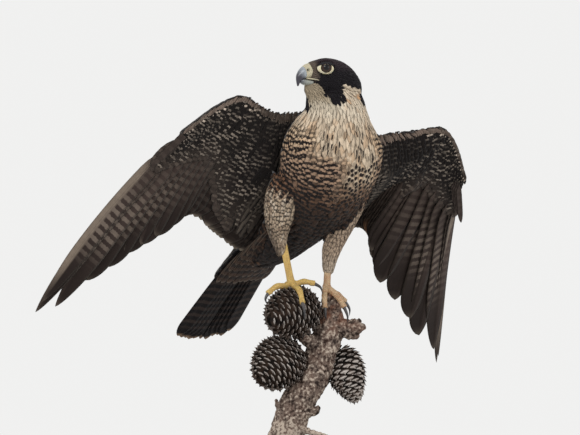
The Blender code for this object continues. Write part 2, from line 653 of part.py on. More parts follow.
class Wing:
    """A wing's feathers as lines from root to tip, each with the plane that it lies in."""

    def __init__(self, side):
        self.side = side
        table = RIGHT_WING if side == "right" else LEFT_WING
        self.names = list(table)
        self.lead, self.root, self.tip = (
            np.array([front(*row[k]) for row in table.values()]) for k in range(3)
        )
        hand = 1 if side == "right" else -1
        chord = unit(self.tip - self.lead)
        span = unit(np.gradient((self.lead + self.tip + self.root) / 3, axis=0))
        normal = hand * np.cross(chord, span)
        for _ in range(3):
            padded = np.vstack([normal[:1], normal, normal[-1:]])
            normal = unit(padded[:-2] + 2 * normal + padded[2:])
        self.length = np.linalg.norm(self.tip - self.root, axis=1)
        self.along = unit(self.tip - self.root)
        self.normal = unit(normal - (normal * self.along).sum(axis=1)[:, None] * self.along)
        self.ahead = hand * np.cross(self.normal, self.along)
        self.tilt = self.layering()

    def layering(self):
        """Each vane's tilt about its shaft, enough to part it from its neighbours."""
        steps = []
        for way in (0.35, 1.0):
            middles = self.root + (self.tip - self.root) * way
            gaps = np.abs((np.diff(middles, axis=0) * self.ahead[1:]).sum(axis=1))
            steps.append(np.append(gaps, gaps[-1]))
        closest = np.minimum(*steps)
        tilt = np.clip(np.arcsin(np.clip(LAYER_STEP / closest, 0, 0.5)), *TILT_RANGE)
        for _ in range(4):
            padded = np.concatenate([tilt[:1], tilt, tilt[-1:]])
            tilt = (padded[:-2] + 2 * tilt + padded[2:]) / 4
        return tilt

    def plane(self, k):
        """The width direction and the face direction of feather k, tilted for layering."""
        c, s = math.cos(self.tilt[k]), math.sin(self.tilt[k])
        return self.ahead[k] * c + self.normal[k] * s, self.normal[k] * c - self.ahead[k] * s

    def shaft(self, k, ways):
        """Points of feather k's shaft at shares of its length."""
        ways = np.asarray(ways, float)[:, None]
        arch = self.length[k] * 4 * ways * (1 - ways)
        straight = self.root[k] + (self.tip[k] - self.root[k]) * ways
        rise = FEATHER_BOW * arch + ARM_BULGE * (1 - ways)
        return straight + self.normal[k] * rise + self.ahead[k] * EDGE_BOW * arch

    def arm_ring(self, k, shrink=1.0):
        """The arm's section at feather k, its upper side first."""
        upper, lower = [], []
        for share, thickness in ARM_THICKNESS:
            if share <= 1:
                bulge = ARM_BULGE * math.sin(math.pi / 2 * share)
                place = self.lead[k] + (self.root[k] - self.lead[k]) * share + self.normal[k] * bulge
            else:
                place = self.shaft(k, [share - 1])[0]
            upper.append(place + self.normal[k] * thickness * shrink / 2)
            lower.append(place - self.normal[k] * thickness * shrink / 2)
        return np.array(upper + lower[::-1])

    def arm(self, parts):
        """The fleshy arm from the shoulder out to the tenth primary."""
        rings = [self.arm_ring(k) for k in range(0, len(self.names), ARM_STRIDE)]
        shoulder = front(*SHOULDERS[self.side])
        inner = shoulder + (rings[0] - rings[0][2]) * 0.7
        last = rings[-1] + (rings[-1] - rings[-2]) * 0.25
        rings = [inner, *rings, (last - last.mean(axis=0)) * 0.6 + last.mean(axis=0)]
        return loft(f"wing_{self.side}", rings, "plumage_dark", parts, paired=True)

    def flight_feathers(self, where):
        """The primaries, secondaries and tertials as vanes."""
        ways, shares = np.array(FLIGHT_WIDTHS).T
        vanes = []
        for k, name in enumerate(self.names):
            primary = name.startswith("P")
            width = shares * (PRIMARY_WIDTH if primary else SECONDARY_WIDTH)
            lead = PRIMARY_LEAD if primary else SECONDARY_LEAD
            axis, face = self.plane(k)
            vanes.append(vane(self.shaft(k, ways), axis, face, width * lead, width * (1 - lead), where))
        return vanes

    def coverts(self, where):
        """One row of greater coverts over the roots of the flight feathers, on each face."""
        ways, shares = np.array(COVERT_WIDTHS).T
        vanes = []
        for k in range(0, len(self.names), COVERT_STRIDE):
            axis, face = self.plane(k)
            start = self.lead[k] + (self.root[k] - self.lead[k]) * COVERT_START + self.normal[k] * ARM_BULGE
            end = self.shaft(k, [COVERT_END])[0]
            middles = start + (end - start) * ways[:, None]
            half = shares * COVERT_WIDTH / 2
            for turn in (1, -1):
                lift = turn * COVERT_LIFT * np.array([0.6, 1.0, 1.0])[:, None] * face
                vanes.append(vane(middles + lift, axis, face, half, half, where))
        return vanes

    def alula(self, where):
        """The bastard wing: two short vanes along the front edge of the hand."""
        root, tip = (front(*place) for place in ALULAS[self.side])
        ways, shares = np.array(COVERT_WIDTHS).T
        k = self.names.index("P6")
        axis, face = self.plane(k)
        vanes = []
        for step in range(2):
            shift = self.normal[k] * step * mm(1.4) - self.ahead[k] * step * mm(2)
            reach = 1 - 0.15 * step
            middles = root + (tip - root) * ways[:, None] * reach + shift
            vanes.append(vane(middles, axis, face, shares * mm(3), shares * mm(7), where))
        return vanes


def make_wing(side, parts, cutters):
    """A wing: the arm with its vanes joined to it, fitted to the body."""
    wing = Wing(side)
    arm = wing.arm(parts)
    boolean(arm, wing.flight_feathers(cutters) + wing.coverts(cutters) + wing.alula(cutters), "UNION")
    boolean(arm, [body_cutter(cutters)], "DIFFERENCE")


def make_tail(parts, cutters):
    """Twelve tail feathers as vanes on a short root, the middle pair on top."""
    along = unit(TAIL_TIP - TAIL_ROOT)
    side = unit(TAIL_LEFT - along * (TAIL_LEFT @ along))
    top = np.cross(side, along)
    top = top if top[1] > 0 else -top
    length = np.linalg.norm(TAIL_TIP - TAIL_ROOT)
    stations = []
    for way, width, depth in ((-0.04, 10, 5), (0.06, 15, 6.5), (0.2, 17, 5), (0.34, 19, 3.6)):
        stations.append(oval(TAIL_ROOT + along * way * length, side, top, mm(width), mm(depth), mm(depth), 12))
    tail = loft("tail", stations, "plumage_dark", parts)
    ways, shares = np.array(FLIGHT_WIDTHS).T
    vanes = []
    for hand in (1, -1):
        axis = side * hand * math.cos(TAIL_TILT) + top * math.sin(TAIL_TILT)
        face = top * math.cos(TAIL_TILT) - side * hand * math.sin(TAIL_TILT)
        for k in range(TAIL_PAIRS):
            reach = length - TAIL_ROUNDING * (k / (TAIL_PAIRS - 1)) ** 2
            out = (k + 0.5) * (TAIL_ROOT_STEP + (TAIL_TIP_STEP - TAIL_ROOT_STEP) * ways)
            middles = TAIL_ROOT + along * (ways * reach)[:, None] + side * hand * out[:, None]
            outer = shares * TAIL_VANE
            inner = np.minimum(outer, np.maximum(out - mm(0.7), mm(1)))
            if k == 0 and hand == 1:
                middles = middles + top * TAIL_CENTRE_LIFT
                inner = shares * TAIL_VANE * 0.6
            vanes.append(vane(middles, axis, face, outer, inner, cutters))
    boolean(tail, vanes, "UNION")
    boolean(tail, [body_cutter(cutters)], "DIFFERENCE")


def make_thighs(parts, cutters):
    """The feathered thighs, fitted to the body's side."""
    for side, stations in THIGHS.items():
        leg = tube(f"thigh_{side}", stations, 14, "plumage_barred", parts)
        boolean(leg, [body_cutter(cutters), *foot_pieces(side, cutters, cutters, TOUCH_GAP)], "DIFFERENCE")


def toe_tube(name, joints, start, radius, look, where, grow=0.0):
    """A toe from the foot's middle through its joints, thinner towards its end."""
    places = [start, *(front(*joint) for joint in joints)]
    rows = smooth_rows(places, np.linspace(0, len(places) - 1, 2 * len(places) - 1))
    radii = np.linspace(1.12, 0.86, len(rows)) * radius
    return tube(name, list(zip(rows, radii)), TOE_SIDES, look, where, TOE_HINT, grow)


def foot_pieces(side, parts, cutters, grow=0.0):
    """A foot's shank, pad and four toes as closed tubes."""
    top, foot = SHANK_TOPS[side], FEET[side]
    shank = [
        (top, SHANK_RADIUS * 1.05),
        (foot * 0.45 + top * 0.55, SHANK_RADIUS),
        (foot * 0.8 + top * 0.2, SHANK_RADIUS * 1.1),
        (foot * 1.05 - top * 0.05, SHANK_RADIUS * 1.2),
    ]
    pieces = [tube(f"foot_{side}", shank, 10, "foot_yellow", parts, grow=grow)]
    pieces.append(ball("pad", foot, [FOOT_RADIUS + grow] * 3, "foot_yellow", cutters, 12, 8))
    for joints in TOES[side].values():
        pieces.append(toe_tube("toe", joints[:3], foot, TOE_RADIUS, "foot_yellow", cutters, grow))
    return pieces


def claw_stations(joints):
    """Sections of a claw from inside the end of its toe to its tip."""
    places = [front(*joint) for joint in joints[2:]]
    start = places[0] - unit(places[0] - front(*joints[1])) * mm(1.5)
    rows = smooth_rows([start, *places[1:]], np.linspace(0, 2, CLAW_RINGS))
    return list(zip(rows, CLAW_RADIUS * (1 - 0.9 * np.linspace(0, 1, CLAW_RINGS) ** 1.4)))


def make_feet(parts, cutters):
    """Shanks with toes, and a claw at the end of each toe."""
    for side in ("right", "left"):
        foot, *others = foot_pieces(side, parts, cutters)
        boolean(foot, others, "UNION")
        for toe, joints in TOES[side].items():
            name = f"claw_{side}_{toe}"
            claw = tube(name, claw_stations(joints), CLAW_SIDES, "claw_black", parts, TOE_HINT)
            boolean(claw, foot_pieces(side, cutters, cutters, TOUCH_GAP), "DIFFERENCE")


def cone(name, centre, half_sizes, aim, look, where, grow=0.0):
    """A closed cone of staggered scales: an egg whose grid points stand out in turn."""
    aim = unit(aim)
    side = unit(np.cross(aim, (0.2, 1, 0.1)))
    other = np.cross(aim, side)
    width, reach = half_sizes
    rings = []
    for row in range(1, CONE_RINGS):
        polar = math.pi * row / CONE_RINGS
        angles = np.arange(CONE_SEGMENTS) * 2 * math.pi / CONE_SEGMENTS
        stagger = (np.arange(CONE_SEGMENTS) + 2 * (row // 2)) % 4 == 0
        rise = 1 + CONE_SCALE_RISE * (stagger & (row % 2 == 1)) - CONE_SCALE_RISE / 2 * (row % 2 == 0)
        radius = (width * math.sin(polar) * (1 + 0.12 * math.cos(polar)) * rise + grow)[:, None]
        middle = centre - aim * math.cos(polar) * (reach + grow)
        rings.append(middle + radius * (np.cos(angles)[:, None] * side + np.sin(angles)[:, None] * other))
    return loft(name, rings, look, where)


def make_perch(parts, cutters):
    """The cut branch with its stubs, and the three cones fitted against it and the feet."""
    def branch_pieces(where, grow=0.0):
        pieces = [tube("perch_branch", BRANCH, 14, "bark", where, grow=grow)]
        for stations in BRANCH_STUBS.values():
            pieces.append(tube("stub", stations, 8, "bark", cutters, (0.1, 0.2, 1), grow))
        return pieces

    branch, *stubs = branch_pieces(parts)
    boolean(branch, stubs, "UNION")
    earlier = []
    for word, shape in CONES.items():
        made = cone(f"perch_cone_{word}", *shape, "cone_scale", parts)
        others = [cone("cut", *other, "bark", cutters, TOUCH_GAP) for other in earlier]
        boolean(made, branch_pieces(cutters, TOUCH_GAP) + others, "DIFFERENCE")
        earlier.append(shape)


def fit_perch_to_feet(cutters):
    """Presses the toes and claws a little into the perch, with a hair's gap all round."""
    for name in ("perch_branch", "perch_cone_top"):
        pieces = []
        for side in ("left", "right"):
            pieces += foot_pieces(side, cutters, cutters, TOUCH_GAP)
            for joints in TOES[side].values():
                stations = claw_stations(joints)
                pieces.append(tube("cut", stations, CLAW_SIDES, "bark", cutters, TOE_HINT, TOUCH_GAP))
        boolean(bpy.data.objects[name], pieces, "DIFFERENCE")


def make_stand(parts, cutters):
    """The flat base and the rod up into the branch's sawn end."""
    top = (0, 0, BASE_HEIGHT)
    base = rod("stand_base", (0, 0, 0), top, BASE_RADIUS, BASE_RADIUS, "stand_black", parts, BASE_SIDES)
    rounding = base.modifiers.new("rounding", "BEVEL")
    rounding.width = mm(2)
    rounding.segments = 1
    rounding.limit_method = "ANGLE"
    foot = (ROD_TOP[0], ROD_TOP[1], BASE_HEIGHT + TOUCH_GAP)
    rod("stand_rod", foot, ROD_TOP, ROD_RADIUS, ROD_RADIUS, "stand_black", parts, 20)
    above = ROD_TOP + mm(0, 0, 0.3)
    hole = rod("cut", (foot[0], foot[1], mm(20)), above, ROD_RADIUS + TOUCH_GAP, ROD_RADIUS + TOUCH_GAP,
               "bark", cutters, 20)
    boolean(bpy.data.objects["perch_branch"], [hole], "DIFFERENCE")


def main():
    """Builds every part."""
    clear_scene()
    parts = collection("peregrine_falcon")
    cutters = collection("cutters", hidden=True)
    make_head_and_neck(parts, cutters)
    make_bill(parts, cutters)
    make_torso(parts)
    for side in ("right", "left"):
        make_wing(side, parts, cutters)
    make_tail(parts, cutters)
    make_thighs(parts, cutters)
    make_feet(parts, cutters)
    make_perch(parts, cutters)
    fit_perch_to_feet(cutters)
    make_stand(parts, cutters)


main()
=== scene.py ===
"""Peregrine falcon with half-spread wings on a cut pine branch, dressed over its solid frame.

Metres, +Z up. The viewer stands at -Y, and +X is the viewer's right. Most places are given on a
front drawing: units across from its left edge, units down from its top edge, and millimetres of
depth away from the viewer.
"""

from __future__ import annotations

import logging
import math
from collections.abc import Callable
from dataclasses import dataclass, field
from enum import Enum, IntEnum

import bpy
import numpy as np
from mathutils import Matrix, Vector
from mathutils.bvhtree import BVHTree
from mathutils.kdtree import KDTree


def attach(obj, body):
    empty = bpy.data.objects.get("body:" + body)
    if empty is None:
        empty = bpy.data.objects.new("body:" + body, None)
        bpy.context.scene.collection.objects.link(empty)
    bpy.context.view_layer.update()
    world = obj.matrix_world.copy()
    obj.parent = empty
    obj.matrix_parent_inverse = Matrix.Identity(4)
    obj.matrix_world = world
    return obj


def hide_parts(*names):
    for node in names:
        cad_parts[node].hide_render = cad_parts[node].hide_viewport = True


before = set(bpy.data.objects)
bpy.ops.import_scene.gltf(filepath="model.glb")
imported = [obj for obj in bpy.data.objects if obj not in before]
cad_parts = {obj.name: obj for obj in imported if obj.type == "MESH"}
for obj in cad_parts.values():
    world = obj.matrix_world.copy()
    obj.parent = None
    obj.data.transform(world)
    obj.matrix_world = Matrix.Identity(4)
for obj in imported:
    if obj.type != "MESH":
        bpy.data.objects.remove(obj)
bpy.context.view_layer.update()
BODY = "root"
BAKE_PATCH = 0.003
# a millimetre in metres, and a metre in millimetres
MM = 0.001
IN_MM = 1000
SIDES = ("right", "left")
Array = np.ndarray
Tone = tuple[float, float, float]

logging.basicConfig(level=logging.INFO, format="%(message)s")
LOG = logging.getLogger("falcon")


# Measures
def mm(value: float) -> float:
    """Millimetres as metres."""
    return value * MM


@dataclass(frozen=True)
class Drawing:
    """The front drawing that places are read from."""

    unit: float = mm(1.18)
    middle: float = 310
    bottom: float = 435
    rise: float = mm(70)

    def place(self, rows: object) -> Array:
        """World places of (across, down, depth) rows: a scale and a shift along each axis.

        Args:
            rows: places in the drawing's units, each with a depth in millimetres.

        Returns:
            Places in metres.
        """
        rows = np.asarray(rows, float)
        across = (rows[..., 0] - self.middle) * self.unit
        up = self.rise + (self.bottom - rows[..., 1]) * self.unit
        return np.stack([across, rows[..., 2] * MM, up], axis=-1)


DRAWING = Drawing()


def unit(vectors: object) -> Array:
    """Each vector at length 1."""
    vectors = np.asarray(vectors, float)
    return vectors / np.maximum(np.linalg.norm(vectors, axis=-1, keepdims=True), 1e-12)


def dot(a: Array, b: Array) -> Array:
    """The product of vectors, row by row."""
    return (a * b).sum(axis=-1)


def flat(vectors: Array, normals: Array) -> Array:
    """Vectors turned into the plane square to the normals, at length 1."""
    return unit(vectors - dot(vectors, normals)[..., None] * normals)


def ease(low: float, high: float, values: Array) -> Array:
    """A smooth step from 0 at low to 1 at high: 3t squared less 2t cubed."""
    t = np.clip((np.asarray(values, float) - low) / (high - low), 0, 1)
    return t * t * (3 - 2 * t)


def smooth_rows(rows: object, at: object) -> Array:
    """Rows of numbers read between their stations by a Catmull-Rom curve through them.

    Args:
        rows: the rows, at stations 0, 1, 2 and so on.
        at: fractional stations.

    Returns:
        One row for each fractional station.
    """
    rows = np.array(rows, float)
    at = np.clip(np.asarray(at, float), 0, len(rows) - 1)
    first = np.minimum(at.astype(int), len(rows) - 2)
    t = (at - first)[:, None]
    ends = np.vstack([2 * rows[0] - rows[1], rows, 2 * rows[-1] - rows[-2]])
    p0, p1, p2, p3 = (ends[first + k] for k in range(4))
    linear = (p2 - p0) * t
    square = (2 * p0 - 5 * p1 + 4 * p2 - p3) * t**2
    cube = (3 * p1 - p0 - 3 * p2 + p3) * t**3
    return 0.5 * (2 * p1 + linear + square + cube)


def bell(values: Array, width: float) -> Array:
    """A bell about 0: e to less the square of values over a width."""
    return np.exp(-((values / width) ** 2))


def circle(count: int) -> tuple[Array, Array]:
    """The cosines and the sines of equal steps round a circle."""
    angles = np.arange(count) * math.tau / count
    return np.cos(angles), np.sin(angles)


def ripple(points: Array, size: float, seed: int, waves: int = 9) -> Array:
    """Smooth noise of about -1 to 1: sine waves summed over drawn directions.

    Args:
        points: places in metres.
        size: about the length of a wave.
        seed: what the directions and phases are drawn from.
        waves: how many waves are summed.

    Returns:
        One value for each place.
    """
    rng = np.random.default_rng(seed)
    ways = unit(rng.normal(size=(waves, 3))) * rng.uniform(0.6, 1.6, (waves, 1)) * math.tau / size
    return np.sin(points @ ways.T + rng.uniform(0, math.tau, waves)).sum(axis=-1) / math.sqrt(waves)


# Meshes
@dataclass
class Surface:
    """Points with four-cornered and three-cornered faces."""

    points: Array
    quads: Array
    tris: Array = field(default_factory=lambda: np.zeros((0, 3), int))

    @staticmethod
    def join(parts: list["Surface"]) -> "Surface":
        """Several surfaces as one, each face index moved on by the points before it.

        Args:
            parts: the surfaces, in order.

        Returns:
            One surface.
        """
        starts = np.cumsum([0] + [len(p.points) for p in parts])
        return Surface(
            np.vstack([p.points for p in parts]),
            np.vstack([p.quads + s for p, s in zip(parts, starts)]),
            np.vstack([p.tris + s for p, s in zip(parts, starts)]),
        )

    def outward(self) -> "Surface":
        """The surface with its faces turned out, told by the sign of the volume they hold.

        Returns:
            The surface itself, or one with every face turned over.
        """
        a, b, c, d = (self.points[self.quads[:, k]] for k in range(4))
        volume = dot(a, np.cross(b, c)).sum() + dot(a, np.cross(c, d)).sum()
        a, b, c = (self.points[self.tris[:, k]] for k in range(3))
        volume += dot(a, np.cross(b, c)).sum()
        if volume < 0:
            return Surface(self.points, self.quads[:, ::-1], self.tris[:, ::-1])
        return self

    def triangles(self) -> Array:
        """Every face cut into triangles."""
        return np.vstack([self.quads[:, [0, 1, 2]], self.quads[:, [0, 2, 3]], self.tris])


def loft(rings: Array) -> Surface:
    """A closed skin over rings of equal counts, each end closed by a fan to its middle.

    Args:
        rings: places by ring, then by point round the ring.

    Returns:
        The surface, its faces pointing out.
    """
    rings = np.asarray(rings, float)
    turns, count = rings.shape[:2]
    index = np.arange(turns * count).reshape(turns, count)
    near = np.roll(index, -1, axis=1)
    quads = np.stack([index[:-1], near[:-1], near[1:], index[1:]], axis=-1).reshape(-1, 4)
    first, last = turns * count, turns * count + 1
    fans = [
        np.stack([near[0], index[0], np.full(count, first)], axis=-1),
        np.stack([index[-1], near[-1], np.full(count, last)], axis=-1),
    ]
    middles = [rings[0].mean(axis=0), rings[-1].mean(axis=0)]
    points = np.vstack([rings.reshape(-1, 3), middles])
    return Surface(points, quads, np.vstack(fans)).outward()


def tube_rings(
    places: Array, radii: Array, sides: int, hint: tuple = (0.1, 1, 0.3), squash: float = 1.0
) -> Array:
    """Round rings square to a path: centre plus cosine and sine parts along two cross directions.

    Args:
        places: the path's places.
        radii: the radius at each.
        sides: points in a ring.
        hint: a direction that the path never runs along, from which the cross directions come.
        squash: how deep a ring is for its width.

    Returns:
        Places by ring, then by point round the ring.
    """
    lines = unit(np.gradient(places, axis=0))
    side = unit(np.cross(lines, np.asarray(hint, float)))
    other = np.cross(side, lines) * squash
    c, s = circle(sides)
    spread = c[:, None] * side[:, None] + s[:, None] * other[:, None]
    return places[:, None] + spread * np.asarray(radii)[:, None, None]


def oval_rings(
    centre: Array, side: Array, ahead: Array, width: Array, fore: Array, aft: Array, count: int
) -> Array:
    """Rings about centres: width times cosine to the side, fore or aft times sine ahead.

    Args:
        centre: each ring's middle.
        side: its direction to the left.
        ahead: its direction to the front.
        width: its half width.
        fore: its depth in front of the middle.
        aft: its depth behind the middle.
        count: points in a ring.

    Returns:
        Places by ring, then by point round the ring.
    """
    c, s = circle(count)
    across = c[None] * width[:, None]
    along = np.where(s[None] > 0, fore[:, None], aft[:, None]) * s[None]
    return centre[:, None] + across[..., None] * side[:, None] + along[..., None] * ahead[:, None]


def fuse(surfaces: list[Surface], voxel: float, smoothing: int) -> Surface:
    """Overlapping closed surfaces as one even skin, through a voxel remesh and some smoothing.

    Args:
        surfaces: the closed surfaces.
        voxel: the size of the skin's faces.
        smoothing: rounds of smoothing at half strength.

    Returns:
        The skin, with four-cornered faces.
    """
    mesh = mesh_of("fuse", Surface.join(surfaces))
    obj = bpy.data.objects.new("fuse", mesh)
    bpy.context.scene.collection.objects.link(obj)
    remesh = obj.modifiers.new("fuse", "REMESH")
    remesh.mode = "VOXEL"
    remesh.voxel_size = voxel
    soften = obj.modifiers.new("soften", "SMOOTH")
    soften.iterations = smoothing
    soften.factor = 0.5
    graph = bpy.context.evaluated_depsgraph_get()
    made = bpy.data.meshes.new_from_object(obj.evaluated_get(graph))
    points = np.empty(len(made.vertices) * 3, np.float32)
    made.vertices.foreach_get("co", points)
    corners = np.empty(len(made.loops), np.int32)
    made.loops.foreach_get("vertex_index", corners)
    bpy.data.objects.remove(obj)
    bpy.data.meshes.remove(mesh)
    bpy.data.meshes.remove(made)
    return Surface(points.reshape(-1, 3).astype(float), corners.reshape(-1, 4).astype(int))


def normals_of(surface: Surface) -> Array:
    """Vertex normals: the cross product of each face's diagonals or edges, added to its corners.

    Args:
        surface: the surface.

    Returns:
        A unit vector for each point.
    """
    points, q, t = surface.points, surface.quads, surface.tris
    square = np.cross(points[q[:, 2]] - points[q[:, 0]], points[q[:, 3]] - points[q[:, 1]])
    corner = np.cross(points[t[:, 1]] - points[t[:, 0]], points[t[:, 2]] - points[t[:, 0]])
    total = np.zeros_like(points)
    for faces, cross in ((q, square), (t, corner)):
        for k in range(faces.shape[1]):
            np.add.at(total, faces[:, k], cross)
    return unit(total)


def mesh_of(name: str, surface: Surface) -> bpy.types.Mesh:
    """A mesh filled from the surface's arrays.

    Args:
        name: the mesh's name.
        surface: the surface.

    Returns:
        The mesh.
    """
    mesh = bpy.data.meshes.new(name)
    mesh.vertices.add(len(surface.points))
    mesh.vertices.foreach_set("co", surface.points.astype(np.float32).ravel())
    corners = np.concatenate([surface.quads.ravel(), surface.tris.ravel()]).astype(np.int32)
    count = len(surface.quads)
    starts = np.concatenate([np.arange(count) * 4, count * 4 + np.arange(len(surface.tris)) * 3])
    mesh.loops.add(len(corners))
    mesh.loops.foreach_set("vertex_index", corners)
    mesh.polygons.add(len(starts))
    mesh.polygons.foreach_set("loop_start", starts.astype(np.int32))
    mesh.update(calc_edges=True)
    mesh.validate()
    return mesh


@dataclass
class Looks:
    """What a piece's finish reads: maps and values for each point."""

    maps: dict[str, Array] = field(default_factory=dict)
    colours: dict[str, Array] = field(default_factory=dict)
    vectors: dict[str, Array] = field(default_factory=dict)

    @staticmethod
    def join(parts: list["Looks"]) -> "Looks":
        """Several sets of values one after the other, for surfaces joined in the same order.

        Args:
            parts: the values of each surface.

        Returns:
            The values of all of them.
        """

        def stack(kind: str) -> dict[str, Array]:
            """One kind of value, stacked name by name."""
            names = getattr(parts[0], kind)
            return {name: np.vstack([getattr(part, kind)[name] for part in parts]) for name in names}

        return Looks(stack("maps"), stack("colours"), stack("vectors"))


def make_piece(
    name: str,
    surface: Surface,
    finish: bpy.types.Material,
    slot: str,
    looks: Looks | None = None,
    stands_for: tuple[str, ...] = (),
) -> bpy.types.Object:
    """A finished piece of the model.

    Args:
        name: the piece's name.
        surface: its points and faces.
        finish: its material.
        slot: the record's slot that the finish belongs to; not used.
        looks: maps and values for each point, if the finish reads any.
        stands_for: the solid nodes that it replaces.

    Returns:
        The object, riding on the model's one body.
    """
    mesh = mesh_of(name, surface)
    corners = np.empty(len(mesh.loops), np.int32)
    mesh.loops.foreach_get("vertex_index", corners)
    looks = looks or Looks()
    for title, values in looks.maps.items():
        layer = mesh.uv_layers.new(name=title)
        layer.uv.foreach_set("vector", values[corners].astype(np.float32).ravel())
    for kind, word, stored in (
        ("FLOAT_COLOR", "color", looks.colours), ("FLOAT_VECTOR", "vector", looks.vectors)
    ):
        for title, values in stored.items():
            layer = mesh.attributes.new(title, kind, "POINT")
            layer.data.foreach_set(word, values.astype(np.float32).ravel())
    mesh.materials.append(finish)
    mesh.shade_smooth()
    obj = bpy.data.objects.new(name, mesh)
    bpy.context.scene.collection.objects.link(obj)
    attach(obj, BODY)
    if stands_for:
        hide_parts(*stands_for)
    faces = len(surface.quads) * 2 + len(surface.tris)
    LOG.info("%-22s %7d triangles", name, faces)
    return obj


# Finishes
Socket = bpy.types.NodeSocket


class Nodes:
    """The nodes of one material, wired by short calls."""

    def __init__(self, name: str, roughness: float, **uniform: object) -> None:
        """A material whose shader has these uniform values, each socket named with underscores.

        Args:
            name: the material's name.
            roughness: the shader's roughness.
            uniform: the shader's other values.
        """
        self.material = bpy.data.materials.new(name)
        self.material.use_nodes = True
        self.tree = self.material.node_tree
        self.shader = self.tree.nodes["Principled BSDF"]
        self.shader.inputs["Roughness"].default_value = roughness
        for title, value in uniform.items():
            self.shader.inputs[title.replace("_", " ")].default_value = value

    def put(self, kind: str, **settings: object) -> bpy.types.Node:
        """A new node with some of its settings.

        Args:
            kind: the node's type.
            settings: its own settings.

        Returns:
            The node.
        """
        node = self.tree.nodes.new(kind)
        for title, value in settings.items():
            setattr(node, title, value)
        return node

    def feed(self, socket: Socket, value: object) -> None:
        """Gives an input a link, a number or a colour.

        Args:
            socket: the input.
            value: what it is given.
        """
        if isinstance(value, bpy.types.NodeSocket):
            self.tree.links.new(value, socket)
        elif isinstance(value, tuple) and len(value) == 3 and socket.type == "RGBA":
            socket.default_value = (*value, 1)
        else:
            socket.default_value = value

    def math(self, operation: str, a: object, b: object = 0.0, c: object = 0.0) -> Socket:
        """One step of arithmetic.

        Args:
            operation: the step's name.
            a: the first value.
            b: the second value.
            c: the third value, where the step has one.

        Returns:
            The result.
        """
        node = self.put("ShaderNodeMath", operation=operation)
        for socket, value in zip(node.inputs, (a, b, c)):
            self.feed(socket, value)
        return node.outputs[0]

    def add(self, a: object, b: object) -> Socket:
        """The sum of two values."""
        return self.math("ADD", a, b)

    def times(self, a: object, b: object) -> Socket:
        """The product of two values."""
        return self.math("MULTIPLY", a, b)

    def less(self, a: object, b: object) -> Socket:
        """One value less another."""
        return self.math("SUBTRACT", a, b)

    def most(self, a: object, b: object) -> Socket:
        """The larger of two values."""
        return self.math("MAXIMUM", a, b)

    def line(self, value: object, slope: object, start: object) -> Socket:
        """A value times a slope, plus a start."""
        return self.math("MULTIPLY_ADD", value, slope, start)

    def step(self, low: object, high: object, value: object) -> Socket:
        """A smooth step from 0 at low to 1 at high.

        Args:
            low: where the step starts.
            high: where it ends.
            value: what is read on it.

        Returns:
            A share from 0 to 1.
        """
        node = self.put("ShaderNodeMapRange", interpolation_type="SMOOTHSTEP")
        self.feed(node.inputs["Value"], value)
        self.feed(node.inputs["From Min"], low)
        self.feed(node.inputs["From Max"], high)
        return node.outputs[0]

    def mix(self, share: object, a: object, b: object) -> Socket:
        """One colour turning into another.

        Args:
            share: how much of the second colour there is.
            a: the first colour.
            b: the second colour.

        Returns:
            The mixed colour.
        """
        node = self.put("ShaderNodeMix", data_type="RGBA")
        self.feed(node.inputs[0], share)
        self.feed(node.inputs[6], a)
        self.feed(node.inputs[7], b)
        return node.outputs[2]

    def places(self) -> Socket:
        """Object coordinates."""
        return self.put("ShaderNodeTexCoord").outputs["Object"]

    def noise(self, scale: float, detail: float = 3.0, where: Socket | None = None) -> Socket:
        """Soft noise between 0 and 1, in object coordinates unless told.

        Args:
            scale: how fine it is.
            detail: how many finer layers lie on it.
            where: the places it is read at.

        Returns:
            The noise.
        """
        node = self.put("ShaderNodeTexNoise")
        self.feed(node.inputs["Vector"], where or self.places())
        node.inputs["Scale"].default_value = scale
        node.inputs["Detail"].default_value = detail
        return node.outputs["Fac"]

    def cells(self, scale: float, feature: str = "DISTANCE_TO_EDGE") -> Socket:
        """Distances in a pattern of cells, in object coordinates.

        Args:
            scale: how fine they are.
            feature: which distance is read.

        Returns:
            The distance.
        """
        node = self.put("ShaderNodeTexVoronoi", feature=feature)
        self.feed(node.inputs["Vector"], self.places())
        node.inputs["Scale"].default_value = scale
        return node.outputs["Distance"]

    def attribute(self, name: str) -> bpy.types.Node:
        """A value stored on the mesh."""
        return self.put("ShaderNodeAttribute", attribute_name=name)

    def split(self, vector: Socket) -> list[Socket]:
        """The three parts of a vector.

        Args:
            vector: the vector.

        Returns:
            Its parts in order.
        """
        node = self.put("ShaderNodeSeparateXYZ")
        self.feed(node.inputs[0], vector)
        return list(node.outputs)

    def stored(self, name: str) -> list[Socket]:
        """The three parts of a vector stored on the mesh."""
        return self.split(self.attribute(name).outputs["Vector"])

    def chart(self, name: str) -> list[Socket]:
        """The shares across and along one of the piece's own maps."""
        return self.split(self.put("ShaderNodeUVMap", uv_map=name).outputs[0])[:2]

    def bump(self, height: Socket, distance: float, strength: float = 1.0) -> None:
        """Gives the shader a relief of this height in metres.

        Args:
            height: the relief as a pattern.
            distance: the height of a full step of it.
            strength: how much of it shows.
        """
        node = self.put("ShaderNodeBump")
        node.inputs["Strength"].default_value = strength
        node.inputs["Distance"].default_value = distance
        self.feed(node.inputs["Height"], height)
        self.feed(self.shader.inputs["Normal"], node.outputs[0])

    def colour(self, value: object) -> bpy.types.Material:
        """Sets the shader's colour and hands over the material."""
        self.feed(self.shader.inputs["Base Color"], value)
        return self.material


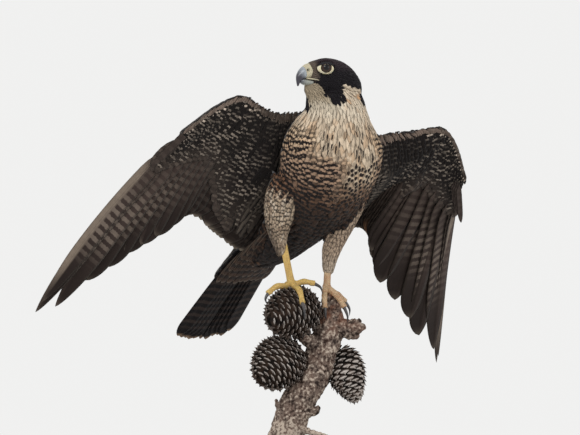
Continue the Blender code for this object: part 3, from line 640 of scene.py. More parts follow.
@dataclass(frozen=True)
class PlumageFinish:
    """Feathers: a ground colour with streaks, spots or bars drawn on each vane by its own map."""

    name: str = "plumage"
    roughness: float = 0.78
    barb_pitch: float = 26.0
    barb_relief: float = mm(0.09)
    edge_tone: Tone = (0.55, 0.46, 0.36)
    shaft_tone: Tone = (0.03, 0.022, 0.016)
    fleck_tone: Tone = (0.008, 0.006, 0.006)
    # the near black that the painted shade darkens towards
    gloom_tone: Tone = (0.012, 0.010, 0.010)

    def make(self) -> bpy.types.Material:
        """The material. Its masks are functions of the vane's across and along shares.

        Returns:
            The material.
        """
        n = Nodes(self.name, self.roughness, Specular_IOR_Level=0.06, Sheen_Weight=0.04)
        x, along = n.chart("Plume")
        across = n.math("ABSOLUTE", n.line(x, 2.0, -1.0))
        ground, mark = n.attribute("ground"), n.attribute("mark")
        bars, beat, duty = n.stored("pattern")
        edging, gloom, start = n.stored("trim")
        wobble = n.less(n.noise(420.0, 2.0), 0.5)

        streak = n.less(1.0, n.step(0.22, 0.52, n.add(across, n.times(wobble, 0.3))))
        streak = n.times(n.times(streak, n.step(0.28, 0.45, along)), ground.outputs["Alpha"])
        down = n.times(n.less(along, 0.76), 4.6)
        oval = n.add(n.math("POWER", n.times(across, 1.5), 2.0), n.math("POWER", down, 2.0))
        spot = n.less(1.0, n.step(0.62, 1.25, n.add(oval, n.times(wobble, 0.9))))
        spot = n.times(spot, mark.outputs["Alpha"])
        bend = n.add(n.times(across, -0.12), n.times(wobble, 0.30))
        phase = n.add(n.add(n.times(along, beat), start), bend)
        wave = n.math("SINE", n.times(phase, math.tau))
        bar = n.times(n.step(-0.28, 0.28, n.less(wave, n.line(duty, -2.0, 1.0))), bars)
        mask = n.most(n.most(streak, spot), bar)
        tone = n.mix(mask, ground.outputs["Color"], mark.outputs["Color"])

        rim = n.most(n.step(0.72, 0.96, across), n.step(0.86, 0.97, along))
        pale = n.mix(0.6, ground.outputs["Color"], self.edge_tone)
        tone = n.mix(n.times(rim, edging), tone, pale)
        shaft = n.less(1.0, n.step(0.015, 0.05, across))
        tone = n.mix(n.times(shaft, 0.3), tone, self.shaft_tone)
        mottle = n.times(n.step(0.3, 0.75, n.noise(160.0, 4.0)), 0.3)
        tone = n.mix(mottle, tone, n.mix(0.55, tone, self.fleck_tone))
        # painted shade: the stored share darkens the colour towards near black
        tone = n.mix(gloom, tone, self.gloom_tone)

        barbs = n.math("SINE", n.times(n.line(across, -0.55, along), self.barb_pitch * math.tau))
        n.bump(n.line(barbs, 0.5, 0.5), self.barb_relief, 0.6)
        return n.colour(tone)


@dataclass(frozen=True)
class SkinFinish:
    """The body under its coat, in the coat's own colours as down, darkened as painted shade."""

    name: str = "down"
    depth_shade_tone: Tone = (0.02, 0.017, 0.015)

    def make(self) -> bpy.types.Material:
        """The material: the stored colour, mottled by two sizes of noise, with painted shade over it all.

        Returns:
            The material.
        """
        n = Nodes(self.name, 0.9, Specular_IOR_Level=0.05)
        ground, mark = n.attribute("ground"), n.attribute("mark")
        share = n.most(mark.outputs["Alpha"], n.stored("pattern")[0])
        fleck = n.times(n.step(0.45, 0.6, n.noise(240.0, 3.0)), n.times(share, 0.8))
        tone = n.mix(fleck, ground.outputs["Color"], mark.outputs["Color"])
        n.bump(n.noise(900.0, 4.0), mm(0.5))
        # painted shade: the skin is darkened a third of the way to near black for its depth under the
        # feathers
        return n.colour(n.mix(0.35, tone, self.depth_shade_tone))


@dataclass(frozen=True)
class HornFinish:
    """Bill and claws: smooth horn with growth lines, turning to another colour along the map."""

    name: str
    base: Tone
    tip: Tone
    turn: tuple[float, float] = (0.2, 0.7)
    roughness: float = 0.3
    fleck_tone: Tone = (0.02, 0.02, 0.025)

    def make(self) -> bpy.types.Material:
        """The material: base to tip along the map's second share, with faint streaks of noise.

        Returns:
            The material.
        """
        n = Nodes(self.name, self.roughness, Coat_Weight=0.25, Coat_Roughness=0.2)
        _, along = n.chart("Horn")
        stain = n.less(n.noise(500.0, 4.0), 0.5)
        tone = n.mix(n.step(*self.turn, n.add(along, n.times(stain, 0.25))), self.base, self.tip)
        tone = n.mix(n.times(n.step(0.4, 0.8, n.noise(900.0, 3.0)), 0.25), tone, self.fleck_tone)
        n.bump(n.noise(1500.0, 3.0), mm(0.08), 0.5)
        return n.colour(tone)


@dataclass(frozen=True)
class BareSkinFinish:
    """Bare skin of the cere, the lids and the feet: cells of fine scales with darker grooves."""

    name: str
    tone: Tone
    shade: Tone
    groove: Tone
    cell: float
    relief: float
    roughness: float = 0.5

    def make(self) -> bpy.types.Material:
        """The material: tone and shade by noise, with the groove colour at the cells' edges.

        Returns:
            The material.
        """
        n = Nodes(self.name, self.roughness, Specular_IOR_Level=0.4, Subsurface_Weight=0.05)
        grain = n.step(0.0, 0.16, n.cells(1.0 / self.cell))
        tone = n.mix(n.step(0.35, 0.7, n.noise(130.0, 4.0)), self.tone, self.shade)
        tone = n.mix(n.times(n.less(1.0, grain), 0.65), tone, self.groove)
        n.bump(n.add(grain, n.times(n.noise(2200.0, 3.0), 0.3)), self.relief)
        return n.colour(tone)


@dataclass(frozen=True)
class EyeFinish:
    """A wet dark brown eye with a black pupil."""

    name: str = "eye"
    iris: Tone = (0.030, 0.014, 0.007)
    pupil: Tone = (0.002, 0.002, 0.002)
    rays: Tone = (0.012, 0.006, 0.004)
    rim: Tone = (0.006, 0.004, 0.004)

    def make(self) -> bpy.types.Material:
        """The material: pupil, iris and rim by the share of the way from the front of the ball.

        Returns:
            The material.
        """
        n = Nodes(self.name, 0.12, Coat_Weight=0.35, Coat_Roughness=0.02, Specular_IOR_Level=0.1)
        around, out = n.chart("Horn")
        rays = n.math("SINE", n.times(around, 60 * math.tau))
        iris = n.mix(n.line(rays, 0.2, 0.3), self.iris, self.rays)
        tone = n.mix(n.step(0.135, 0.155, out), self.pupil, iris)
        return n.colour(n.mix(n.step(0.27, 0.31, out), tone, self.rim))


@dataclass(frozen=True)
class WoodFinish:
    """Weathered bark and cone scales: dark in the cracks, pale on the rims, warm in places."""

    name: str
    dark: Tone
    middle: Tone
    pale: Tone
    warm: Tone
    scale: float
    relief: float
    contrast: float = 0.9
    pits: float = 0.0

    def make(self) -> bpy.types.Material:
        """The material: the stored wear value moves the colour from dark through middle to pale.

        Dark pits sit at the middles of a pattern of cells, where the wood has them.

        Returns:
            The material.
        """
        n = Nodes(self.name, 0.9, Specular_IOR_Level=0.08)
        wear, warmth, _ = n.stored("wear")
        fine = n.noise(self.scale * 4, 6.0)
        broad = n.noise(self.scale, 5.0)
        stain = n.add(fine, n.times(n.less(broad, 0.5), 0.45))
        level = n.add(wear, n.times(n.less(stain, 0.5), self.contrast))
        tone = n.mix(n.step(0.15, 0.5, level), self.dark, self.middle)
        tone = n.mix(n.step(0.55, 0.95, level), tone, self.pale)
        tone = n.mix(n.times(n.step(0.35, 0.65, broad), warmth), tone, self.warm)
        height = n.add(fine, n.times(broad, 0.6))
        if self.pits > 0:
            pit = n.less(1.0, n.step(0.12, 0.30, n.cells(1.0 / self.pits, "F1")))
            pit = n.times(pit, n.step(0.45, 0.6, n.noise(self.scale * 0.8)))
            tone = n.mix(n.times(pit, 0.85), tone, self.dark)
            height = n.less(height, pit)
        n.bump(height, self.relief)
        return n.colour(tone)


@dataclass(frozen=True)
class StandFinish:
    """Satin black lacquer, with a little dust and fine scratches in its gloss."""

    name: str = "stand_lacquer"
    tone: Tone = (0.017, 0.017, 0.018)
    dust_tone: Tone = (0.05, 0.048, 0.045)

    def make(self) -> bpy.types.Material:
        """The material: near black, its roughness stirred by noise.

        Returns:
            The material.
        """
        n = Nodes(self.name, 0.35, Specular_IOR_Level=0.5)
        dust = n.step(0.4, 0.8, n.noise(60.0, 6.0))
        n.feed(n.shader.inputs["Roughness"], n.line(dust, 0.18, 0.28))
        n.bump(n.noise(1400.0, 2.0), mm(0.03), 0.4)
        return n.colour(n.mix(n.times(dust, 0.25), self.tone, self.dust_tone))


@dataclass(frozen=True)
class FloorFinish:
    """A plain pale floor."""

    name: str = "floor"
    tone: Tone = (0.86, 0.86, 0.85)
    grain: Tone = (0.80, 0.80, 0.79)

    def make(self) -> bpy.types.Material:
        """The material: one pale tone with the faintest grain."""
        n = Nodes(self.name, 0.9, Specular_IOR_Level=0.1)
        return n.colour(n.mix(n.times(n.noise(9.0), 0.05), self.tone, self.grain))


# Vanes
@dataclass(frozen=True)
class VaneForm:
    """The grid that every vane of one kind shares: rows from root to tip, columns across."""

    rows: tuple[float, ...]
    lead: tuple[float, ...]
    trail: tuple[float, ...]
    columns: tuple[float, ...]
    thickness: float
    camber: float

    def grid(self) -> tuple[Array, Array, Array]:
        """For each point of one vane: its row, its place across and its face, 1 above, -1 below.

        Returns:
            Three values for each point.
        """
        across = np.array(self.columns)
        ring = np.concatenate([across, across[-2:0:-1]])
        face = np.concatenate([np.ones(len(across)), -np.ones(len(across) - 2)])
        face[[0, len(across) - 1]] = 0
        rows = np.repeat(np.arange(len(self.rows)), len(ring))
        return rows, np.tile(ring, len(self.rows)), np.tile(face, len(self.rows))

    def faces(self) -> tuple[Array, Array]:
        """Quads between neighbouring rings and triangles over the two ends of one vane.

        Returns:
            The quads and the triangles.
        """
        count = 2 * len(self.columns) - 2
        index = np.arange(len(self.rows) * count).reshape(len(self.rows), count)
        near = np.roll(index, -1, axis=1)
        quads = np.stack([index[:-1], index[1:], near[1:], near[:-1]], axis=-1).reshape(-1, 4)
        fan = np.arange(1, count - 1)
        root = np.stack([index[0, 0] * np.ones_like(fan), index[0, fan], index[0, fan + 1]], -1)
        tip = np.stack([index[-1, 0] * np.ones_like(fan), index[-1, fan + 1], index[-1, fan]], -1)
        return quads, np.vstack([root, tip])

    def lay(self, places: Array, across: Array, out: Array, half: Array) -> Surface:
        """Vanes along given shafts.

        A point lies at its row's place, plus its share across times the width there, plus the
        crown of a parabola over the width, plus half the thickness on its face.

        Args:
            places: shaft places by vane and row.
            across: the width direction by vane and row.
            out: the face direction by vane and row.
            half: each vane's half width.

        Returns:
            The vanes as one surface.
        """
        row, u, face = self.grid()
        width = np.where(u >= 0, np.array(self.lead)[row], np.array(self.trail)[row])
        reach = (u * width)[None, :] * half[:, None]
        taper = np.interp(np.array(self.rows)[row], (0, 0.1, 0.7, 1), (1, 1, 1, 0.35))
        crown = self.camber * (1 - u**2) * width * half[:, None]
        rise = crown + (face * (1 - u**2 * 0.6) * taper * self.thickness / 2)[None, :]
        points = places[:, row] + across[:, row] * reach[..., None] + out[:, row] * rise[..., None]
        quads, tris = self.faces()
        starts = np.arange(len(places))[:, None, None] * len(row)
        return Surface(
            points.reshape(-1, 3),
            (quads[None] + starts).reshape(-1, 4),
            (tris[None] + starts).reshape(-1, 3),
        )

    def plume_map(self, count: int) -> Array:
        """The vane's own map for each point: share across and share along.

        Args:
            count: the number of vanes.

        Returns:
            The map of all of them.
        """
        row, u, _ = self.grid()
        one = np.stack([u / 2 + 0.5, np.array(self.rows)[row]], axis=-1)
        return np.tile(one, (count, 1))

    def spread(self, values: Array) -> Array:
        """One value for each vane, given to all of its points."""
        return np.repeat(values, len(self.grid()[0]), axis=0)


BODY_VANE = VaneForm(
    rows=(0, 0.22, 0.45, 0.66, 0.84, 0.95, 1),
    lead=(0.3, 0.75, 1.0, 0.94, 0.68, 0.36, 0.06),
    trail=(0.3, 0.75, 1.0, 0.94, 0.68, 0.36, 0.06),
    columns=(-1, 0, 1),
    thickness=mm(0.22),
    camber=0.11,
)
HEAD_VANE = VaneForm(
    rows=(0, 0.22, 0.45, 0.66, 0.84, 0.95, 1),
    lead=(0.3, 0.8, 1.0, 0.92, 0.64, 0.32, 0.05),
    trail=(0.3, 0.8, 1.0, 0.92, 0.64, 0.32, 0.05),
    columns=(-1, 0, 1),
    thickness=mm(0.16),
    camber=0.06,
)
COVERT_VANE = VaneForm(
    rows=(0, 0.2, 0.42, 0.62, 0.78, 0.9, 0.97, 1),
    lead=(0.35, 0.8, 1.0, 1.0, 0.9, 0.66, 0.38, 0.08),
    trail=(0.35, 0.8, 1.0, 1.0, 0.92, 0.7, 0.4, 0.08),
    columns=(-1, -0.5, 0, 0.5, 1),
    thickness=mm(0.3),
    camber=0.12,
)


def as_given(values: Array) -> Array:
    """The values themselves, where there is a row for each point already."""
    return values


@dataclass
class Markings:
    """Colours and patterns, one row for each vane or point."""

    ground: Array
    mark: Array
    streak: Array
    spot: Array
    bars: Array
    beat: Array
    duty: Array
    edging: Array
    # painted shade: how far the colour is darkened towards near black
    gloom: Array
    start: Array

    @staticmethod
    def plain(ground: object, mark: object, count: int, **values: object) -> "Markings":
        """A ground with no pattern but the values given.

        Args:
            ground: the ground's tone.
            mark: the tone that patterns are drawn in.
            count: the number of rows.
            values: numbers or arrays for any of the patterns.

        Returns:
            The markings.
        """
        tones = (np.tile(np.asarray(tone, float), (count, 1)) for tone in (ground, mark))
        made = Markings(*tones, *(np.zeros(count) for _ in range(8)))
        for name, value in values.items():
            getattr(made, name)[:] = value
        return made

    @staticmethod
    def join(sets: list["Markings"]) -> "Markings":
        """Several sets of markings one after the other."""
        names = vars(sets[0])
        return Markings(**{name: np.concatenate([getattr(m, name) for m in sets]) for name in names})

    def pick(self, chosen: Array) -> "Markings":
        """Some of the rows."""
        return Markings(**{name: values[chosen].copy() for name, values in vars(self).items()})

    def blend(self, share: Array, tone: Tone) -> None:
        """Moves the ground towards a tone by a share of the way."""
        self.ground += (np.array(tone) - self.ground) * np.clip(share, 0, 1)[..., None]

    def put(self, where: Array, **values: object) -> None:
        """Sets some of the values in the rows told.

        Args:
            where: which rows are set.
            values: the new value of each.
        """
        for name, value in values.items():
            own = getattr(self, name)
            setattr(self, name, np.where(where[:, None] if own.ndim > 1 else where, value, own))

    def looks(self, maps: dict[str, Array], spread: Callable[[Array], Array] = as_given) -> Looks:
        """The values as a finish reads them, given to points by a spreading function.

        Args:
            maps: the surface's own maps.
            spread: gives each vane's row to its points.

        Returns:
            The values for the mesh.
        """
        return Looks(
            maps=maps,
            colours={
                "ground": spread(np.column_stack([self.ground, self.streak])),
                "mark": spread(np.column_stack([self.mark, self.spot])),
            },
            vectors={
                "pattern": spread(np.column_stack([self.bars, self.beat, self.duty])),
                "trim": spread(np.column_stack([self.edging, self.gloom, self.start])),
            },
        )


def patch_map(form: VaneForm, chart: Array) -> Array:
    """The bake's map: each vane is a small patch at its root's place on the chart."""
    plume = form.plume_map(len(chart)) - 0.5
    return form.spread(chart) + plume * BAKE_PATCH


# Body
@dataclass
class Trunk:
    """The neck and torso as a spine of oval sections, with the thighs."""

    # each section: centre (across, depth, height), half width, depth to the breast and to the back
    spine: tuple = (
        (26.5, -22.5, 476, 31, 27, 28),
        (30, -21.5, 462, 37, 32, 32),
        (30, -21, 449, 42.5, 38, 37),
        (28.5, -19, 436, 51, 44, 42),
        (26.5, -16, 418, 61, 51, 47),
        (25, -11.5, 400, 64, 54, 47),
        (20.5, -4.5, 382, 62, 53, 45),
        (13, 5, 365, 58, 50, 43),
        (2.5, 18, 347, 51, 46, 39),
        (-11.5, 33.5, 330, 43, 41, 34),
        (-28, 50, 313, 35, 37, 30),
        (-46, 66, 296, 30, 31, 23),
        (-60, 81, 278, 23, 17, 12),
    )
    breast_left: tuple = (0.88, 0.43, -0.20)
    rump_left: tuple = (0.74, 0.67, -0.02)
    # each section: centre and radius
    thighs: dict[str, tuple] = field(default_factory=lambda: {
        "right": (
            (-20, -12, 366, 29),
            (-30.5, -11, 347, 25),
            (-36, -9, 326, 20),
            (-37.5, -7.5, 309, 14.2),
            (-35.5, -6.5, 295, 8.8),
            (-32, -6, 283, 5.4),
        ),
        "left": (
            (49, 22, 362, 25),
            (43, 23, 340, 22),
            (34, 22, 315, 18),
            (26.5, 21, 293, 14),
            (23, 20, 276, 9.6),
            (21.2, 19.2, 261, 5.4),
        ),
    })
    coat: float = mm(3.4)
    thigh_coat: float = mm(3.0)
    stations: int = 97

    def __post_init__(self) -> None:
        """Reads the spine finely, once, for every later question about a place."""
        self.at = np.linspace(0, len(self.spine) - 1, self.stations)
        self.centre, self.left, self.ahead, self.tailward = self.axes(self.at)
        self.sizes = smooth_rows(np.array(self.spine)[:, 3:] * MM, self.at)
        steps = np.linalg.norm(np.diff(self.centre, axis=0), axis=1)
        self.runs = np.concatenate([[0], np.cumsum(steps)])

    def axes(self, at: Array) -> tuple[Array, Array, Array, Array]:
        """Centre, left, front and tailward directions at fractional stations.

        Args:
            at: fractional stations.

        Returns:
            The four, with a row for each station.
        """
        centres = np.array(self.spine)[:, :3] * MM
        step = 0.05
        centre = smooth_rows(centres, at)
        tailward = unit(smooth_rows(centres, at + step) - smooth_rows(centres, at - step))
        share = np.clip((at - 5) / (len(self.spine) - 6), 0, 1)[:, None]
        left = np.array(self.breast_left) * (1 - share) + np.array(self.rump_left) * share
        left = flat(left, tailward)
        return centre, left, np.cross(tailward, left), tailward

    def rings(self, shrink: float, sides: int = 48) -> Array:
        """Oval sections of the body, smaller all round by the coat's depth."""
        width, fore, aft = self.sizes.T - shrink
        return oval_rings(self.centre, self.left, self.ahead, width, fore, aft, sides)

    def thigh_rings(self, side: str, shrink: float, sides: int = 28) -> Array:
        """Round sections of a thigh.

        Args:
            side: which thigh.
            shrink: how much slimmer it is, in metres.
            sides: points in a ring.

        Returns:
            Places by ring, then by point round the ring.
        """
        rows = np.array(self.thighs[side], float) * MM
        rows = smooth_rows(rows, np.linspace(0, len(rows) - 1, 30))
        radii = np.maximum(rows[:, 3] - shrink * ease(0.003, 0.015, rows[:, 3]), mm(2.5))
        return tube_rings(rows[:, :3], radii, sides)

    def read(self, points: Array) -> tuple[Array, Array, Array]:
        """Where places lie on the body.

        Args:
            points: the places.

        Returns:
            The station of each, its angle from the breast's middle towards the left, and the index
            of the nearest station.
        """
        gap = points[:, None] - self.centre[None]
        behind = np.abs(dot(gap, self.tailward[None])) * 1.5
        nearest = (np.linalg.norm(gap, axis=2) + behind).argmin(axis=1)
        own = points - self.centre[nearest]
        across = dot(own, self.left[nearest]) / self.sizes[nearest, 0]
        along = dot(own, self.ahead[nearest])
        depth = np.where(along > 0, self.sizes[nearest, 1], self.sizes[nearest, 2])
        angle = np.arctan2(across, along / depth)
        return self.at[nearest], angle, nearest

    def run(self, points: Array, nearest: Array) -> Array:
        """How far along the spine each place lies, in metres from the neck."""
        return self.runs[nearest] + dot(points - self.centre[nearest], self.tailward[nearest])

    def read_thigh(self, side: str, points: Array) -> tuple[Array, Array, Array]:
        """Share down the thigh, angle round it from its front, and its downward direction.

        Args:
            side: which thigh.
            points: the places.

        Returns:
            The three, for each place.
        """
        rows = np.array(self.thighs[side], float) * MM
        places = smooth_rows(rows, np.linspace(0, len(rows) - 1, 60))[:, :3]
        nearest = np.linalg.norm(points[:, None] - places[None], axis=2).argmin(axis=1)
        own = points - places[nearest]
        down = unit(np.gradient(places, axis=0))[nearest]
        own = own - dot(own, down)[:, None] * down
        return nearest / (len(places) - 1), np.arctan2(own[:, 0], -own[:, 1]), down


@dataclass
class Head:
    """The head's own frame, its sections and its face."""

    centre: tuple = (26, -24, 491)
    yaw: float = math.radians(62)
    roll: float = math.radians(6)
    # each section: forward, half width, top, bottom
    sections: tuple = (
        (-35, 6, -7, -18),
        (-33, 11.5, -2.5, -23),
        (-28, 19, 4.5, -28),
        (-20, 24.5, 13.5, -30),
        (-9, 26.5, 20.8, -28),
        (3, 26, 24.0, -25),
        (12, 23.5, 24.4, -21),
        (20, 19.5, 22.6, -17),
        (27, 15, 20.8, -13.5),
        (32, 11.5, 18.6, -11.5),
    )
    # each section: centre and radius
    throat: tuple = (
        (0, -37.5, 486, 6.8),
        (1.5, -37, 481, 11),
        (7.5, -35, 474, 14),
        (9.5, -33.5, 467, 15.6),
        (11.5, -32, 457, 17.8),
        (15, -31, 446, 17),
    )
    eye: tuple = (16, 15.6, 9.8)
    eye_radius: float = mm(7.5)
    eye_aim: tuple = (0.36, 0.93, 0.05)
    coat: float = mm(1.3)

    def __post_init__(self) -> None:
        """The head's forward, left and up directions."""
        forward = np.array([-math.sin(self.yaw), -math.cos(self.yaw), 0.0])
        left = np.array([math.cos(self.yaw), -math.sin(self.yaw), 0.0])
        up = np.array([0.0, 0.0, 1.0])
        c, s = math.cos(self.roll), math.sin(self.roll)
        self.frame = np.array([forward, left * c + up * s, up * c - left * s])
        self.origin = np.array(self.centre) * MM

    def world(self, rows: object) -> Array:
        """World places of (forward, left, up) rows in millimetres."""
        return self.origin + np.asarray(rows, float) * MM @ self.frame

    def own(self, points: Array) -> Array:
        """Forward, left and up of world places, in millimetres."""
        return (points - self.origin) @ self.frame.T * IN_MM

    def rings(self, shrink: float, sides: int = 48) -> Array:
        """Sections of the plumage, fuller than ovals at the cheeks and flat over the crown.

        Args:
            shrink: how much smaller they are, in metres.
            sides: points in a ring.

        Returns:
            Places by ring, then by point round the ring.
        """
        rows = smooth_rows(self.sections, np.linspace(0, len(self.sections) - 1, 60))
        across, upward = circle(sides)
        across = np.sign(across) * np.abs(across) ** 0.9
        width = rows[:, 1] - shrink * IN_MM
        half = (rows[:, 2] - rows[:, 3]) / 2 - shrink * IN_MM
        middle = (rows[:, 2] + rows[:, 3]) / 2
        upward = middle[:, None] + upward * half[:, None]
        forward = np.repeat(rows[:, :1], sides, axis=1)
        return self.world(np.stack([forward, across * width[:, None], upward], axis=-1))

    def throat_rings(self, sides: int = 28) -> Array:
        """The full throat between the chin and the breast, as a short upright tube."""
        rows = smooth_rows(np.array(self.throat) * MM, np.linspace(0, len(self.throat) - 1, 20))
        return tube_rings(rows[:, :3], rows[:, 3] - self.coat, sides)

    def eye_frame(self, side: int) -> tuple[Array, Array, Array, Array]:
        """The eye's middle, the way it looks, and its own forward and up directions.

        Args:
            side: 1 for the left eye, -1 for the right.

        Returns:
            The middle and three directions.
        """
        f, l, u = self.eye
        middle = self.world((f, side * l, u))
        aim = np.array([self.eye_aim[0], side * self.eye_aim[1], self.eye_aim[2]])
        out = unit(aim @ self.frame)
        upward = flat(self.frame[2], out)
        ahead = flat(self.frame[0], out)
        return middle, out, ahead, upward

    def about_eye(self, side: int, points: Array) -> tuple[Array, Array, Array]:
        """Places as ahead, above and out of the middle of an eye, in millimetres.

        Args:
            side: 1 for the left eye, -1 for the right.
            points: the places.

        Returns:
            The three measures of each place.
        """
        middle, out, ahead, upward = self.eye_frame(side)
        own = points - middle
        return dot(own, ahead) * IN_MM, dot(own, upward) * IN_MM, dot(own, out) * IN_MM

    def sculpt(self, points: Array) -> Array:
        """The brows, the sockets and the creases of the face, pushed along the eyes' lines.

        Around each eye the skin sinks by a bell of the distance from the eye's line, and rises by
        a longer bell above it, as a brow.

        Args:
            points: places on the skin.

        Returns:
            The places moved.
        """
        moved = points.copy()
        for side in (1, -1):
            x, y, z = self.about_eye(side, points)
            near = ease(-9, -3, z) * ease(30, 24, z)
            ring = np.hypot(x / 11.0, (y + 0.8) / 9.6)
            socket = -3.6 * (1 - ease(0.72, 1.12, ring))
            brow = 4.6 * bell(y - 8.6 - 0.05 * x, 3.0) * bell(x - 0.5, 10.5)
            lore = -1.5 * np.exp(-(((x - 13.0) / 4.0) ** 2) - (((y + 3.0) / 4.5) ** 2))
            cheek = 1.0 * np.exp(-(((x + 6) / 9) ** 2) - (((y + 15) / 6) ** 2))
            push = near * (socket + brow + lore + cheek) * MM
            moved += push[:, None] * self.eye_frame(side)[1]
        return moved


class Side(Enum):
    """The bird's sides, with the hand that its wing's directions turn by."""

    RIGHT = "right"
    LEFT = "left"

    @property
    def hand(self) -> int:
        """1 for the right wing, -1 for the left."""
        return 1 if self is Side.RIGHT else -1


# on the front drawing: each flight feather's leading point, its root and its tip, inner to outer
RIGHT_QUILLS = (
    ((300, 111, -20), (292, 170, 6), (240, 251, 42)),
    ((294, 111.5, -24), (286, 176, 6), (234, 249, 38)),
    ((289, 112, -27), (281, 179, 4), (230, 246, 34)),
    ((284.5, 112.5, -29.5), (276, 176, -3), (226.6, 243.3, 28)),
    ((280.5, 112.8, -32), (272.5, 171, -9), (220, 238, 24)),
    ((276.5, 112, -34.5), (269, 165.5, -15), (217, 235.5, 20)),
    ((272.5, 110.5, -37), (266, 159, -20), (213, 232.5, 16)),
    ((268.5, 108.8, -40), (263, 152.5, -25), (209.5, 229.5, 11)),
    ((264.5, 107, -43), (260, 146, -30), (206, 226, 6)),
    ((260.5, 105, -46), (257, 139.5, -35), (200.5, 220, 2)),
    ((257, 102.8, -49), (254, 133, -40), (194.5, 217, -3)),
    ((253.5, 100.6, -52), (251, 126.5, -45), (188, 215, -8)),
    ((249.5, 98.2, -55), (248, 120, -50), (180, 217.5, -14)),
    ((245, 96.5, -58), (243.5, 115, -54), (171.5, 217.5, -20)),
    ((239.5, 96.3, -60), (236, 115.5, -56), (165, 227.5, -23)),
    ((234, 97.8, -61), (229, 116.5, -57), (155, 236, -26)),
    ((228.5, 100.5, -62), (222.5, 119, -58), (140.5, 244.5, -29)),
    ((222, 104, -62), (215.5, 122.5, -59), (125, 253, -33)),
    ((215, 108, -62), (208, 126.5, -59), (106, 267, -38)),
    ((207.5, 113.4, -62), (200.5, 131, -60), (85.4, 280.3, -45)),
    ((199, 119.6, -62), (193, 135.5, -60), (55.6, 306.5, -54)),
    ((190.5, 126.4, -62), (186, 137.5, -60), (36, 312, -60)),
    ((182, 133.2, -62), (179, 139.2, -60), (43, 301.5, -64)),
)
LEFT_QUILLS = (
    ((368, 136, 27), (372, 172, 46), (346, 232, 128)),
    ((374, 135, 31), (379, 177, 51), (349, 230, 134)),
    ((380, 134, 35), (385.5, 179, 55), (352, 228.5, 139)),
    ((386, 133.3, 39), (391, 176, 58), (355, 228, 142)),
    ((391.5, 132.6, 42), (396, 171.5, 60), (358.5, 228, 140)),
    ((397, 132, 45), (401.5, 167, 62), (361.5, 228.5, 136)),
    ((403, 131.3, 48), (407, 163, 63.5), (364, 230, 131)),
    ((409, 130.6, 51), (413, 159, 65), (366, 232, 126)),
    ((415, 129.9, 54), (419, 155, 66), (368, 234.5, 121)),
    ((421, 129.2, 57), (425, 151, 67), (369.3, 237, 117)),
    ((427, 128.4, 59.5), (431, 147, 68), (370.3, 240, 114)),
    ((433, 127.6, 62), (437, 143, 69), (371, 243, 111)),
    ((439, 127.1, 64.5), (443, 139.5, 70.5), (371.5, 246.5, 109)),
    ((445, 129, 67), (448, 139, 73.5), (371.3, 251, 110)),
    ((450, 133, 71), (450.5, 143.5, 78), (372.5, 258, 115)),
    ((453, 137.5, 75), (453, 149, 83), (375.5, 268, 122)),
    ((455.5, 142.5, 80), (455, 155, 88), (380.6, 283.3, 134)),
    ((457.5, 148, 85), (457, 161, 93), (395.6, 300.7, 158)),
    ((459.3, 154, 90), (458.5, 167, 98.5), (411.3, 319.3, 184)),
    ((461, 160.5, 96), (460, 173, 104), (420.4, 336.7, 211)),
    ((462.8, 167, 102), (461.3, 179, 109.5), (435.5, 351, 246)),
    ((464.6, 173.5, 108), (462.4, 184.5, 115), (438.5, 364.6, 271)),
    ((466.2, 180, 114), (463.5, 189.5, 120), (440.5, 358, 276)),
)
TERTIALS = 3
FIRST_PRIMARY = 13


